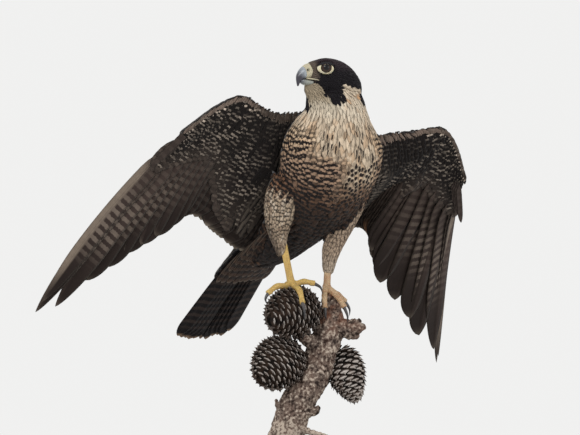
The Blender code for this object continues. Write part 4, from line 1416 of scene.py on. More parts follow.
@dataclass
class Wing:
    """A wing's arm, and its feathers as lines from root to tip with the plane each lies in."""

    side: Side
    shoulder: dict = field(default_factory=lambda: {
        Side.RIGHT: (318, 114, -6),
        Side.LEFT: (345, 134, 12),
    })
    alulas: dict = field(default_factory=lambda: {
        Side.RIGHT: ((193, 126.5, -63), (151, 166, -68)),
        Side.LEFT: ((462, 183, 108), (464.5, 223.5, 136)),
    })
    arm_bulge: float = mm(5)
    bow: float = 0.035
    sweep: float = 0.022
    # share of the way, 0 to 1 to the feather roots and 1 to 2 on to the tips, and thickness there
    arm_shares: tuple = (0.0, 0.2, 0.6, 1.0, 1.2)
    arm_depths: tuple = (2.5, 7, 9, 6.5, 2.6)
    coat: float = mm(1.0)
    primary_lead: float = 0.3
    secondary_lead: float = 0.4
    layer_step: float = mm(1.15)
    tilt_range: tuple = (math.radians(7), math.radians(17))

    def __post_init__(self) -> None:
        """The feathers' lines and planes, worked out once."""
        table = RIGHT_QUILLS if self.side is Side.RIGHT else LEFT_QUILLS
        places = DRAWING.place(table)
        self.lead, self.root, self.tip = places[:, 0], places[:, 1], places[:, 2]
        self.count = len(table)
        chord = unit(self.tip - self.lead)
        span = unit(np.gradient((self.lead + self.tip + self.root) / 3, axis=0))
        normal = self.side.hand * np.cross(chord, span)
        for _ in range(3):
            padded = np.vstack([normal[:1], normal, normal[-1:]])
            normal = unit(padded[:-2] + 2 * normal + padded[2:])
        self.length = np.linalg.norm(self.tip - self.root, axis=1)
        self.along = unit(self.tip - self.root)
        self.normal = flat(normal, self.along)
        self.forward = self.side.hand * np.cross(self.normal, self.along)
        self.tilt = self.layering()

    def layering(self) -> Array:
        """Each vane's tilt about its shaft, enough to part it from its neighbours.

        Returns:
            Angles, smoothed from vane to vane.
        """
        steps = []
        for way in (0.35, 1.0):
            middles = self.root + (self.tip - self.root) * way
            gaps = np.abs(dot(np.diff(middles, axis=0), self.forward[1:]))
            steps.append(np.append(gaps, gaps[-1]))
        tilt = np.arcsin(np.clip(self.layer_step / np.minimum(*steps), 0, 0.5))
        tilt = np.clip(tilt, *self.tilt_range)
        for _ in range(4):
            padded = np.concatenate([tilt[:1], tilt, tilt[-1:]])
            tilt = (padded[:-2] + 2 * tilt + padded[2:]) / 4
        return tilt

    def read(self, values: Array, at: Array) -> Array:
        """One of the wing's rows at fractional feathers, in a straight line between two.

        Args:
            values: the rows.
            at: fractional feathers.

        Returns:
            A row for each.
        """
        at = np.clip(at, 0, self.count - 1)
        first = np.minimum(at.astype(int), self.count - 2)
        t = (at - first).reshape(-1, *([1] * (values.ndim - 1)))
        return values[first] * (1 - t) + values[first + 1] * t

    def shafts(self, at: Array, ways: Array) -> Array:
        """Shaft places by feather and share of its length: a straight line bowed by a parabola.

        Args:
            at: fractional feathers.
            ways: shares of the length.

        Returns:
            Places by feather, then by share.
        """
        root, tip = self.read(self.root, at)[:, None], self.read(self.tip, at)[:, None]
        normal, forward = self.read(self.normal, at)[:, None], self.read(self.forward, at)[:, None]
        length = self.read(self.length, at)[:, None, None]
        ways = np.atleast_2d(ways)[..., None]
        arch = length * 4 * ways * (1 - ways)
        rise = self.bow * arch + self.arm_bulge * (1 - ways)
        return root + (tip - root) * ways + normal * rise + forward * self.sweep * arch

    def chord(self, at: Array, shares: Array) -> Array:
        """Places over the arm and on along the feathers, pair by pair.

        Shares from 0 to 1 run from the front edge to the feather roots over a quarter wave of
        bulge, and from 1 on they follow the shaft.

        Args:
            at: fractional feathers.
            shares: the share of the way for each.

        Returns:
            The places.
        """
        inner = np.clip(shares, 0, 1)
        lead, root = self.read(self.lead, at), self.read(self.root, at)
        bulge = self.arm_bulge * np.sin(math.pi / 2 * inner)
        over = lead + (root - lead) * inner[:, None] + self.read(self.normal, at) * bulge[:, None]
        beyond = self.shafts(at, np.clip(shares - 1, 0, 1)[:, None])[:, 0]
        return np.where((shares <= 1)[:, None], over, beyond)

    def depth(self, shares: Array) -> Array:
        """Half the thickness of the arm at shares over it."""
        return np.interp(shares, self.arm_shares, self.arm_depths) * 0.0005

    def arm(self) -> Surface:
        """The fleshy arm under its coverts, from the shoulder out to the last primary.

        Returns:
            A closed surface.
        """
        shares = np.array([0.02, 0.1, 0.2, 0.4, 0.6, 0.8, 1.0, 1.08, 1.15])
        rings = []
        for k in range(self.count):
            here = np.full(len(shares), float(k))
            middle = self.chord(here, shares)
            slim = np.interp(k, (self.count - 5, self.count - 1), (1.0, 0.55))
            middle = middle.mean(axis=0) + (middle - middle.mean(axis=0)) * slim
            rise = self.normal[k] * np.maximum(self.depth(shares) - self.coat, mm(0.5))[:, None]
            rings.append(np.vstack([middle + rise, (middle - rise)[::-1]]))
        shoulder = DRAWING.place(self.shoulder[self.side])
        inner = shoulder + (rings[0] - rings[0][2]) * 0.7
        last = rings[-1]
        end = (last - last.mean(axis=0)) * 0.5 + last.mean(axis=0)
        return loft(np.array([inner, *rings, end + (rings[-1] - rings[-2]).mean(axis=0) * 0.2]))


# Colours, as shares of light
CREAM = (0.61, 0.49, 0.36)
BUFF = (0.56, 0.39, 0.25)
RUSTY = (0.32, 0.205, 0.14)
WHITE = (0.66, 0.58, 0.46)
INK = (0.016, 0.012, 0.011)
CAP = (0.0075, 0.0062, 0.0085)
SLATE = (0.066, 0.064, 0.068)
SLATE_BAR = (0.155, 0.150, 0.150)
UMBER = (0.030, 0.021, 0.018)
QUILL_BAR = (0.135, 0.106, 0.086)
MARBLE = (0.22, 0.183, 0.150)


# Tones of single places on the bird
FLANK = (0.17, 0.080, 0.042)
# painted shade: the dark of the lower belly and the vent, which lie in the body's shadow
VENT_SHADE = (0.05, 0.032, 0.024)
RIGHT_THIGH = (0.42, 0.325, 0.235)
RIGHT_THIGH_DARK = (0.24, 0.165, 0.115)
RIGHT_THIGH_PALE = (0.60, 0.51, 0.41)
# painted shade for the lower left of the right thigh
RIGHT_THIGH_SHADE = (0.12, 0.088, 0.066)
LEFT_THIGH = (0.40, 0.30, 0.22)
LEFT_THIGH_END = (0.50, 0.42, 0.33)
# painted shade: the chin and upper throat under the bill, darker than their own pale cream
THROAT = (0.27, 0.215, 0.145)
CHEEK = (0.52, 0.42, 0.31)
CHEEK_WARM = (0.55, 0.33, 0.18)
CROWN = (0.030, 0.020, 0.024)
HOOD_BAR = (0.05, 0.036, 0.03)
LORE = (0.16, 0.125, 0.095)
WING_FRONT = (0.19, 0.15, 0.118)
SECONDARY_RUST = (0.24, 0.12, 0.06)
UNDER_COVERT = (0.010, 0.008, 0.0075)
UNDER_COVERT_REAR = (0.034, 0.026, 0.022)
UNDER_COVERT_LAST = (0.042, 0.032, 0.027)
ALULA = (0.038, 0.028, 0.024)
EDGE_WARMTH = (1.0, 0.74, 0.60)
TAIL_BELOW = (0.006, 0.0045, 0.0050)
TAIL_BAR = (0.034, 0.023, 0.019)
TAIL_END = (0.20, 0.135, 0.09)
UNDER_TAIL = (0.046, 0.027, 0.019)


class Part(IntEnum):
    """The parts of the body that a place can belong to, in the order of the skin's forms."""

    TRUNK = 0
    HEAD = 1
    THIGH_RIGHT = 2
    THIGH_LEFT = 3
    ARM_RIGHT = 4
    ARM_LEFT = 5
    THROAT = 6


THIGHS = (("right", Part.THIGH_RIGHT), ("left", Part.THIGH_LEFT))
ARMS = (Part.ARM_RIGHT, Part.ARM_LEFT)
BODY_PARTS = [part for part in Part if part not in ARMS]


@dataclass
class Places:
    """Where points of the skin lie on the bird."""

    points: Array
    normals: Array
    gaps: Array
    station: Array
    angle: Array
    nearest: Array
    face: Array
    thigh: dict[str, tuple]

    def on(self, *parts: Part) -> Array:
        """Whether each point belongs to one of some parts, by the least gap."""
        return np.isin(self.gaps.argmin(axis=1), parts)

    def body_gap(self) -> Array:
        """The gap to the nearest part other than an arm."""
        return self.gaps[:, BODY_PARTS].min(axis=1)


@dataclass
class Skin:
    """One skin over the body, the head, the thighs and the arms, inside them by the coat's depth."""

    trunk: Trunk
    head: Head
    wings: tuple[Wing, Wing]
    voxel: float = mm(1.6)
    smoothing: int = 8

    def __post_init__(self) -> None:
        """The parts' closed forms, and the one skin over them."""
        parts = [loft(self.trunk.rings(self.trunk.coat)), loft(self.head.rings(self.head.coat))]
        parts += [loft(self.trunk.thigh_rings(side, self.trunk.thigh_coat)) for side in SIDES]
        parts += [wing.arm() for wing in self.wings] + [loft(self.head.throat_rings())]
        self.surface = fuse(parts, self.voxel, self.smoothing)
        self.surface.points = self.head.sculpt(self.surface.points)
        self.normals = normals_of(self.surface)
        self.tree = self.tree_of(self.surface)
        self.trees = [self.tree_of(part) for part in parts]

    @staticmethod
    def tree_of(surface: Surface) -> BVHTree:
        """A tree for finding the nearest place on a surface."""
        return BVHTree.FromPolygons(surface.points.tolist(), surface.triangles().tolist())

    def snap(self, points: Array) -> tuple[Array, Array]:
        """The nearest places on the skin to some points, and the outward directions there."""
        found = [self.tree.find_nearest(p) for p in points.tolist()]
        return np.array([f[0] for f in found]), np.array([f[1] for f in found])

    def locate(self, points: Array, normals: Array) -> Places:
        """Reads where points lie: the gap to each part's form, and their own measures on each.

        Args:
            points: the points.
            normals: the outward direction at each.

        Returns:
            The places.
        """
        rows = points.tolist()
        gaps = np.array([[tree.find_nearest(p)[3] for tree in self.trees] for p in rows])
        station, angle, nearest = self.trunk.read(points)
        thigh = {side: self.trunk.read_thigh(side, points) for side in SIDES}
        return Places(points, normals, gaps, station, angle, nearest, self.head.own(points), thigh)

    def lie(self, places: Places) -> Array:
        """The way that feathers point, blended between parts by the gap to each.

        On the head it runs back from the bill and away from the bill's line near the face, on the
        body towards the tail, and down each thigh.

        Args:
            places: where the feathers grow.

        Returns:
            A unit vector along the skin for each.
        """
        f, l, u = places.face.T
        radial = unit(np.stack([np.zeros_like(l), l, u - 2.0], axis=-1))
        spread = 1.3 * ease(4, 34, f)
        head = (np.array([-1.0, 0, 0]) + radial * spread[:, None]) @ self.head.frame
        ways = [self.trunk.tailward[places.nearest], head]
        ways += [places.thigh[side][2] for side in SIDES]
        share = np.exp(-places.gaps[:, :4] / 0.005)
        total = sum(way * share[:, k : k + 1] for k, way in enumerate(ways))
        return flat(total, places.normals)

    def piece(self, painter: "Painter") -> None:
        """Makes the skin, coloured as its coat is.

        Args:
            painter: gives the markings.
        """
        looks = painter.paint(self.locate(self.surface.points, self.normals)).looks({})
        nodes = ("head", "neck", "torso", "thigh_right", "thigh_left")
        make_piece("skin", self.surface, SkinFinish().make(), "plumage_barred", looks, nodes)


@dataclass
class Painter:
    """The bird's markings as functions of where a point lies on it."""

    # edges of the hood in the head's own millimetres: the stations, then the edge there
    cap_edge: tuple = (
        (-34, -29, -20, -9, -3.5, 0, 6, 16, 24, 34),
        (-26, -18.5, -13, -12, -9.5, -8, -8, -9.5, -8.5, -5),
    )
    stripe_front: tuple = ((-31, -28, -22, -9, -5), (4, 10.5, 17.5, 24.5, 26))
    stripe_rear: tuple = ((-33, -30, -26, -20, -10, -5), (8.5, 5.0, 2.2, 0.3, 0.5, -2.0))
    # the far side of the throat: heights, then how far the skin has turned where the hood begins
    far_edge: tuple = ((452, 459, 471, 481, 486), (0.62, 0.66, 0.86, 0.97, 1.2))

    def hood(self, face: Array, points: Array) -> Array:
        """How dark the head is: the cap, the moustache below the eye and the nape, 0 to 1.

        Args:
            face: places in the head's own millimetres.
            points: the same places in metres.

        Returns:
            The share of the hood at each.
        """
        f, l, u = face.T
        rough = ripple(points, 0.009, 3) * 0.7
        cap = ease(-1.3, 1.3, u - np.interp(f, *self.cap_edge) + rough)
        front = np.interp(u, *self.stripe_front) + 15 * ease(1, -6, l) * ease(-8, -14, u)
        inside = np.minimum(front - f, f - np.interp(u, *self.stripe_rear)) + rough * 0.8
        stripe = ease(-1.0, 1.2, inside) * (u < -3) * ease(-31.5, -28.5, u)
        stripe = stripe * np.maximum(ease(5, 9, np.abs(l)), ease(1, -2, l) * (f > 16))
        nape = ease(-26, -30, f + rough * 1.5) * ease(-60, -52, u)
        side_nape = ease(21, 17, np.abs(l)) * ease(-17, -22, f) * ease(-50, -42, u)
        return np.clip(np.maximum.reduce([cap, stripe, nape, side_nape]), 0, 1)

    def paint(self, places: Places) -> Markings:
        """The markings at each place.

        The breast is cream with shaft streaks, which turn into spots and then bars down the belly
        and round the flanks. The back is slate with paler bars, the thighs are pale with small
        bars, and the hood is laid over the head and the back of the neck. Painted shade darkens
        the lower belly and the vent, the chin, and the lower left of the right thigh.

        Args:
            places: where the points lie on the bird.

        Returns:
            One row of markings for each place.
        """
        made = Markings.plain(CREAM, INK, len(places.points))
        turn = np.degrees(np.abs(places.angle)) + ripple(places.points, 0.03, 5) * 4
        self.paint_body(places, turn, made)
        back = ease(96, 116, turn) * ease(0.4, 1.2, places.station)
        self.cloak(made, back, SLATE, SLATE_BAR)
        self.paint_thighs(places, made)
        self.paint_head(places, turn, made)
        return made

    def paint_body(self, places: Places, turn: Array, made: Markings) -> None:
        """Breast, belly and flanks, by the station along the spine and the turn from the front.

        Args:
            places: where the points lie.
            turn: degrees round from the breast's middle.
            made: the markings that are changed.
        """
        points, blend = places.points, made.blend
        low = places.station + ripple(points, 0.02, 7) * 0.16
        right = ease(10, -14, np.degrees(places.angle))
        flank = np.maximum(ease(36, 56, turn) * ease(2.2, 3.4, low), ease(5.0, 6.2, low))
        flank = np.maximum(flank, right * ease(3.6, 4.6, low))
        blend(0.75 * ease(0.2, 0.6, ripple(points, 0.016, 11)), BUFF)
        blend(ease(2.4, 1.2, low) * 0.7, WHITE)
        blend(flank * 0.70, BUFF)
        blend(right * flank * ease(3.0, 4.4, low) * 0.6, RUSTY)
        blend(flank * ease(3.4, 5.2, low) * 0.75, RUSTY)
        blend(flank * ease(5.2, 6.6, low) * 0.85, FLANK)
        # painted shade down the lower belly and the vent
        blend(ease(8.0, 10.0, low) * 0.7, VENT_SHADE)
        flecks = ease(0.25, 0.6, ripple(points, 0.0032, 21))
        made.streak = ease(1.6, 2.6, low) * (1 - flank) * flecks
        spotted = ease(4.2, 5.0, low) * ease(7.2, 6.2, low) * ease(75, 50, turn) * (1 - right)
        spotted = ease(0.35, 0.65, spotted + 0.28 * ripple(points, 0.004, 61) * (spotted > 0.05))
        made.spot = spotted
        broken = ease(0.5, 1.1, ripple(points, 0.005, 63)) * ease(5.0, 6.0, low)
        made.bars = np.clip(flank - spotted, 0, 1) * (1 - 0.8 * broken)
        made.duty = 0.50 + 0.14 * ease(4.5, 6.5, low) + 0.05 * right
        # painted shade over the lower belly, which lies in the body's shadow
        made.gloom = 0.84 * ease(5.0, 7.4, low) * ease(84, 54, turn)

    def paint_thighs(self, places: Places, made: Markings) -> None:
        """The barred thighs, the right one mottled and with painted shade at its lower left.

        Args:
            places: where the points lie.
            made: the markings that are changed.
        """
        points, blend = places.points, made.blend
        for side, part in THIGHS:
            down, angle = places.thigh[side][:2]
            fade = places.on(part) * ease(0.0, 0.12, down)
            if side == "right":
                # painted shade: the lower left of the right thigh lies half in shadow
                shade = ease(25, -45, np.degrees(angle)) * ease(0.3, 0.55, down)
                blend(fade, RIGHT_THIGH)
                blend(fade * ease(0.2, 0.9, ripple(points, 0.007, 67)) * 0.6, RIGHT_THIGH_DARK)
                blend(fade * ease(0.4, 1.0, ripple(points, 0.006, 71)) * 0.6, RIGHT_THIGH_PALE)
                blend(fade * shade * 0.85, RIGHT_THIGH_SHADE)
                worn = ease(0.3, 1.0, ripple(points, 0.006, 73))
                strength = 0.85 - 0.35 * ease(0.4, 0.7, down) - 0.4 * worn
            else:
                blend(fade, LEFT_THIGH)
                blend(fade * ease(0.55, 0.85, down) * 0.6, LEFT_THIGH_END)
                strength = 0.55 - 0.25 * ease(0.4, 0.8, down)
            made.put(fade > 0.4, spot=0.0, bars=strength, streak=0.0, duty=0.30, gloom=0.0)

    def paint_head(self, places: Places, turn: Array, made: Markings) -> None:
        """The pale throat and cheeks, with painted shade under the chin, and the hood over the head and
        the back of the neck.

        Args:
            places: where the points lie.
            turn: degrees round from the breast's middle.
            made: the markings that are changed.
        """
        points, station, blend = places.points, places.station, made.blend
        near_head = ease(0.004, 0.0, places.gaps[:, Part.HEAD]) + ease(1.6, 0.6, station)
        near_head = np.clip(near_head, 0, 1)
        f, _, u = places.face.T
        # painted shade under the bill on the chin and upper throat
        blend(near_head * ease(-4, -8, u) * ease(4, 12, f) * 0.9, THROAT)
        blend(near_head * ease(-20, -30, u) * 0.6, WHITE)
        cheek = near_head * ease(2, -6, f) * ease(-4, -8, u)
        blend(cheek * 0.7, CHEEK)
        blend(cheek * ease(0.3, 0.7, ripple(points, 0.012, 17)) * ease(-16, -22, u), CHEEK_WARM)
        made.streak = made.streak * (1 - near_head * ease(-34, -26, u))
        x, _, z = (points * IN_MM).T
        turned = -places.normals[:, 0] - np.interp(z, *self.far_edge)
        far_side = ease(-0.05, 0.05, turned) + ease(0.05, 0.25, places.normals[:, 1])
        far_side = far_side * (x < 6) * ease(449, 455, z) * ease(488, 484, z) * near_head
        blend(ease(0.004, 0.008, places.body_gap()) * places.on(*ARMS), UMBER)
        hood = np.clip(self.hood(places.face, points) * near_head + far_side, 0, 1)
        nape = ease(104, 124, turn) * ease(2.6, 1.6, station)
        self.cloak(made, np.maximum(hood, nape), CAP, HOOD_BAR)
        made.put(nape > 0.5, edging=0.15)
        made.put(hood > 0.3, bars=0.0, edging=0.02)
        blend((hood > 0.5) * ease(2, 16, u), CROWN)
        blend(near_head * ease(24.5, 30.0, f) * ease(-6, -1, u) * 0.62, LORE)

    @staticmethod
    def cloak(made: Markings, share: Array, tone: Tone, bar: Tone) -> None:
        """Lays dark feathers with paler bars over some of the bird, each feather one or the other."""
        made.put(share > 0.5, ground=tone, mark=bar, bars=0.8, duty=0.36, edging=0.5)
        made.put(share > 0.5, streak=0.0, spot=0.0, gloom=0.0)


@dataclass
class Coat:
    """The small feathers over the skin, set closely and pointing along its lie."""

    skin: Skin
    painter: Painter
    candidates: int = 90000
    seed: int = 11
    overlap: float = 2.8
    fullness: float = 0.90
    bar_pitch: float = mm(6.4)
    thigh_bar_pitch: float = mm(5.6)
    thigh_run: float = mm(95)

    def __post_init__(self) -> None:
        """Draws the feathers' roots, and lays out what each of them is."""
        self.draws = np.random.default_rng(self.seed)
        points, normals = self.scatter()
        places = self.skin.locate(points, normals)
        spacing = self.spacing(places)
        keep = np.flatnonzero(self.allowed(places))
        chosen = keep[self.thin(points[keep], spacing[keep])]
        _, soft = self.skin.snap(points[chosen])
        self.places = self.skin.locate(points[chosen], soft)
        self.gap = spacing[chosen]

    def scatter(self) -> tuple[Array, Array]:
        """Random places on the skin, with more to the area where feathers are small.

        Returns:
            The places and the outward directions there.
        """
        surface, tris = self.skin.surface, self.skin.surface.triangles()
        corners = surface.points[tris]
        cross = np.cross(corners[:, 1] - corners[:, 0], corners[:, 2] - corners[:, 0])
        area = np.linalg.norm(cross, axis=1)
        f, l, u = self.skin.head.own(corners.mean(axis=1)).T
        head = np.exp(-((np.hypot(np.hypot(f - 2, l), u) / 36) ** 4))
        weight = area * (1 + 9 * head)
        chosen = self.draws.choice(len(tris), self.candidates, p=weight / weight.sum())
        a, b = self.draws.random((2, self.candidates, 1))
        folded = a + b > 1
        a, b = np.where(folded, 1 - a, a), np.where(folded, 1 - b, b)
        base = corners[chosen]
        points = base[:, 0] + a * (base[:, 1] - base[:, 0]) + b * (base[:, 2] - base[:, 0])
        return points, unit(cross[chosen])

    def thin(self, points: Array, spacing: Array) -> Array:
        """Picks places in drawn order, each striking out its neighbours within its spacing.

        Args:
            points: the places.
            spacing: the room that each one needs.

        Returns:
            The numbers of the picked ones.
        """
        tree = KDTree(len(points))
        for index, point in enumerate(points.tolist()):
            tree.insert(point, index)
        tree.balance()
        free = np.ones(len(points), bool)
        picked = []
        for index in range(len(points)):
            if free[index]:
                picked.append(index)
                near = tree.find_range(points[index], spacing[index])
                free[[other for _, other, _ in near]] = False
        return np.array(picked)

    def spacing(self, places: Places) -> Array:
        """How far apart feathers are: finest round the eyes and bill, widest at the tail.

        Args:
            places: where they grow.

        Returns:
            A distance in metres for each.
        """
        f, _, u = places.face.T
        eye = np.hypot(f - self.skin.head.eye[0], u - self.skin.head.eye[2])
        face = np.minimum(eye / 16, (36 - f) / 18)
        head = 1.35 + 1.15 * ease(0.45, 1.6, face) + 0.5 * ease(-10, -30, f)
        body = np.interp(places.station, (0, 1.5, 3, 6, 9, 12), (2.7, 3.3, 4.2, 4.9, 5.4, 6.0))
        made = np.where(places.on(Part.HEAD), head, body)
        for side, part in THIGHS:
            made = np.where(places.on(part), 3.8 - 1.7 * places.thigh[side][0], made)
        neck = ease(0.006, 0.0, places.gaps[:, Part.HEAD]) * places.on(Part.TRUNK)
        made = made * (1 - neck * 0.25)
        return np.where(places.on(Part.THROAT), made * 0.74, made) * MM

    def allowed(self, places: Places) -> Array:
        """Places that bear a feather: none on the wings' arms, the bill's root or in an eye.

        Args:
            places: places on the skin.

        Returns:
            Whether each one bears a feather.
        """
        allowed = ~((places.gaps[:, Part.HEAD] < 0.004) & (places.face[:, 0] > 31.0))
        for side in (1, -1):
            x, y, z = self.skin.head.about_eye(side, places.points)
            ring = np.hypot(x / 9.4, (y + 0.6) / 7.6)
            allowed &= ~((ring < 1) & (z > -6) & (z < 30))
        arm = places.gaps[:, ARMS].min(axis=1)
        return allowed & ((arm > 0.0015) | (places.body_gap() < arm + 0.004))

    def lines(self) -> tuple[Array, Array, Array]:
        """Each feather's root, middle and tip lifted off the skin, the normals there, its width.

        Returns:
            The lines, their normals and half the width of each feather.
        """
        places, draws = self.places, self.draws
        count = len(places.points)
        way = self.skin.lie(places)
        side = np.cross(places.normals, way)
        yaw = draws.normal(0, 0.10, count)[:, None]
        way = unit(way + side * yaw)
        head, thigh = places.on(Part.HEAD), places.on(Part.THIGH_RIGHT, Part.THIGH_LEFT)
        rear = ease(8.5, 12, places.station) * places.on(Part.TRUNK)
        down = np.maximum(*(places.thigh[side][0] * places.on(part) for side, part in THIGHS))
        breast = ease(5.0, 3.0, places.station) * ~(head | thigh)
        reach = self.overlap + 1.8 * thigh + 1.4 * rear + 1.6 * ease(0.72, 0.95, down) + 0.9 * breast
        length = self.gap * reach * draws.uniform(0.88, 1.14, count)
        lift = np.where(head, 0.17, 0.22) * self.gap * draws.uniform(0.75, 1.3, count)
        lift = lift + 0.5 * rear * MM + 0.0006 * thigh
        middle, m_normal = self.skin.snap(places.points + way * length[:, None] * 0.5)
        onward = flat(middle - places.points, m_normal)
        tip, t_normal = self.skin.snap(middle + onward * length[:, None] * 0.5)
        root = places.points - places.normals * 0.0003
        middle = middle + m_normal * lift[:, None] * 0.62
        tip = tip + t_normal * lift[:, None]
        line = np.stack([root, middle, tip], axis=1)
        normal = unit(np.stack([places.normals, m_normal, t_normal], axis=1))
        return line, normal, self.gap * (self.fullness - 0.18 * breast - 0.16 * thigh)

    def align(self, marks: Markings, line: Array) -> None:
        """Sets each feather's bars to one beat along the body, so that they run on to the next.

        Args:
            marks: the feathers' markings, which are changed.
            line: each one's root, middle and tip.
        """
        places = self.places
        length = np.linalg.norm(line[:, 2] - line[:, 0], axis=1)
        run = self.skin.trunk.run(places.points, places.nearest)
        pitch = self.bar_pitch
        for side, part in THIGHS:
            run = np.where(places.on(part), places.thigh[side][0] * self.thigh_run, run)
            pitch = np.where(places.on(part), self.thigh_bar_pitch, pitch)
        loose = 0.09 + 0.10 * ease(4.5, 6.5, places.station)
        stir = self.draws.normal(0, 1, len(run)) * np.where(pitch < self.bar_pitch, 0.2, loose)
        sway = ripple(places.points, 0.03, 51) * 0.35 + stir
        marks.beat = length / pitch
        marks.start = run / pitch + sway

    def chart(self) -> Array:
        """The roots' places on unwraps of the skin: cylinders round the head, body and thighs.

        Returns:
            A place on the unwrap for each feather.
        """
        places = self.places
        f, l, u = places.face.T
        around = places.angle / math.tau + 0.5
        body = np.stack([around, places.station / 12], axis=-1)
        head = np.stack([np.arctan2(l, u + 2) / math.tau + 0.5, (f + 40) / 80], axis=-1)
        made = np.where(places.on(Part.HEAD)[:, None], head, body)
        for side, part in THIGHS:
            down, angle = places.thigh[side][:2]
            leg = np.stack([angle / math.tau + 0.5, down], axis=-1)
            made = np.where(places.on(part)[:, None], leg, made)
        return 0.02 + 0.96 * np.clip(made, 0, 1)

    def pieces(self, finish: bpy.types.Material) -> None:
        """Makes the coat as one piece for each part of the bird.

        Args:
            finish: the plumage's material.
        """
        places, station = self.places, self.places.station
        line, normal, half = self.lines()
        marks = self.painter.paint(places)
        self.align(marks, line)
        chart = self.chart()
        front = np.abs(places.angle) < math.radians(95)
        trunk = places.on(Part.TRUNK, *ARMS, Part.THROAT)
        groups = {
            "coat_head": (places.on(Part.HEAD), "plumage_dark"),
            "coat_neck": (trunk & (station < 2.2), "plumage_pale"),
            "coat_breast": (trunk & (station >= 2.2) & (station < 6.5) & front, "plumage_barred"),
            "coat_belly": (trunk & (station >= 6.5) & front, "plumage_barred"),
            "coat_back": (trunk & (station >= 2.2) & ~front, "plumage_dark"),
            "coat_thigh_right": (places.on(Part.THIGH_RIGHT), "plumage_barred"),
            "coat_thigh_left": (places.on(Part.THIGH_LEFT), "plumage_barred"),
        }
        for name, (chosen, slot) in groups.items():
            form = HEAD_VANE if name == "coat_head" else BODY_VANE
            surface = curved_vanes(form, line[chosen], normal[chosen], half[chosen])
            own = marks.pick(chosen)
            count = int(chosen.sum())
            own.ground *= self.draws.uniform(0.88, 1.1, (count, 1))
            maps = {"Plume": form.plume_map(count), "OFBake": patch_map(form, chart[chosen])}
            make_piece(name, surface, finish, slot, own.looks(maps, form.spread))


def curved_vanes(form: VaneForm, line: Array, normal: Array, half: Array) -> Surface:
    """Vanes over curves through three places each.

    The shaft is the parabola through root, middle and tip, the face direction is blended between
    the three normals alike, and the width lies square to both.

    Args:
        form: the grid that the vanes share.
        line: each vane's root, middle and tip.
        normal: the outward direction at each of them.
        half: each vane's half width.

    Returns:
        The vanes as one surface.
    """
    v = np.array(form.rows)
    weights = np.stack([(1 - v) * (1 - 2 * v), 4 * v * (1 - v), v * (2 * v - 1)], axis=-1)
    slopes = np.stack([4 * v - 3, 4 - 8 * v, 4 * v - 1], axis=-1)
    places = np.einsum("rk,nkc->nrc", weights, line)
    along = unit(np.einsum("rk,nkc->nrc", slopes, line))
    out = unit(np.einsum("rk,nkc->nrc", weights, normal))
    across = unit(np.cross(along, out))
    return form.lay(places, across, np.cross(across, along), half).outward()


def width_curve(rows: Array, rise: tuple, taper: float, power: float, end: float) -> Array:
    """A flight feather's width by share of its length.

    It stays at a quill's width, rises smoothly to full width, and falls from the taper's start as
    one less a power of the way to the tip.

    Args:
        rows: shares of the length.
        rise: where the rise to full width starts and ends.
        taper: where the taper starts.
        power: how late and how bluntly it tapers.
        end: the least share of the width left at the tip.

    Returns:
        The share of the full width at each row.
    """
    up = 0.14 + 0.86 * ease(rise[0], rise[1], rows)
    fall = np.clip((rows - taper) / (1 - taper), 0, 1)
    return up * np.maximum(1 - fall**power, 0) ** 0.75 * (1 - end) + end * up * (1 - fall**8 * 0.9)


def flight_form(lead: float, taper: float, power: float, thickness: float = mm(0.5)) -> VaneForm:
    """The grid of a long feather, narrow on its front side, with rows closer near the tip.

    Args:
        lead: the front side's share of the width.
        taper: where the back side starts to taper.
        power: how bluntly both sides taper.
        thickness: the vane's thickness.

    Returns:
        The grid.
    """
    rows = 1 - (1 - np.linspace(0, 1, 30)) ** 1.25
    front = width_curve(rows, (0.06, 0.2), min(taper + 0.05, 0.95), power, 0.02)
    back = width_curve(rows, (0.06, 0.24), taper, power, 0.02)
    return VaneForm(
        rows=tuple(rows),
        lead=tuple(front * lead),
        trail=tuple(back * (1 - lead)),
        columns=(-1, -0.8, -0.55, -0.28, -0.08, 0, 0.15, 0.5, 1),
        thickness=thickness,
        camber=0.05,
    )


# feathers at which the reach of the patterned coverts is told
UNDER_QUILLS = (0, 3, 8, 10, 13, 15, 18, 20, 22)
# the first feather with the outermost ones' narrow shape, and the first with a pale front edge
NARROW_QUILL = 20
EDGE_QUILL = 21


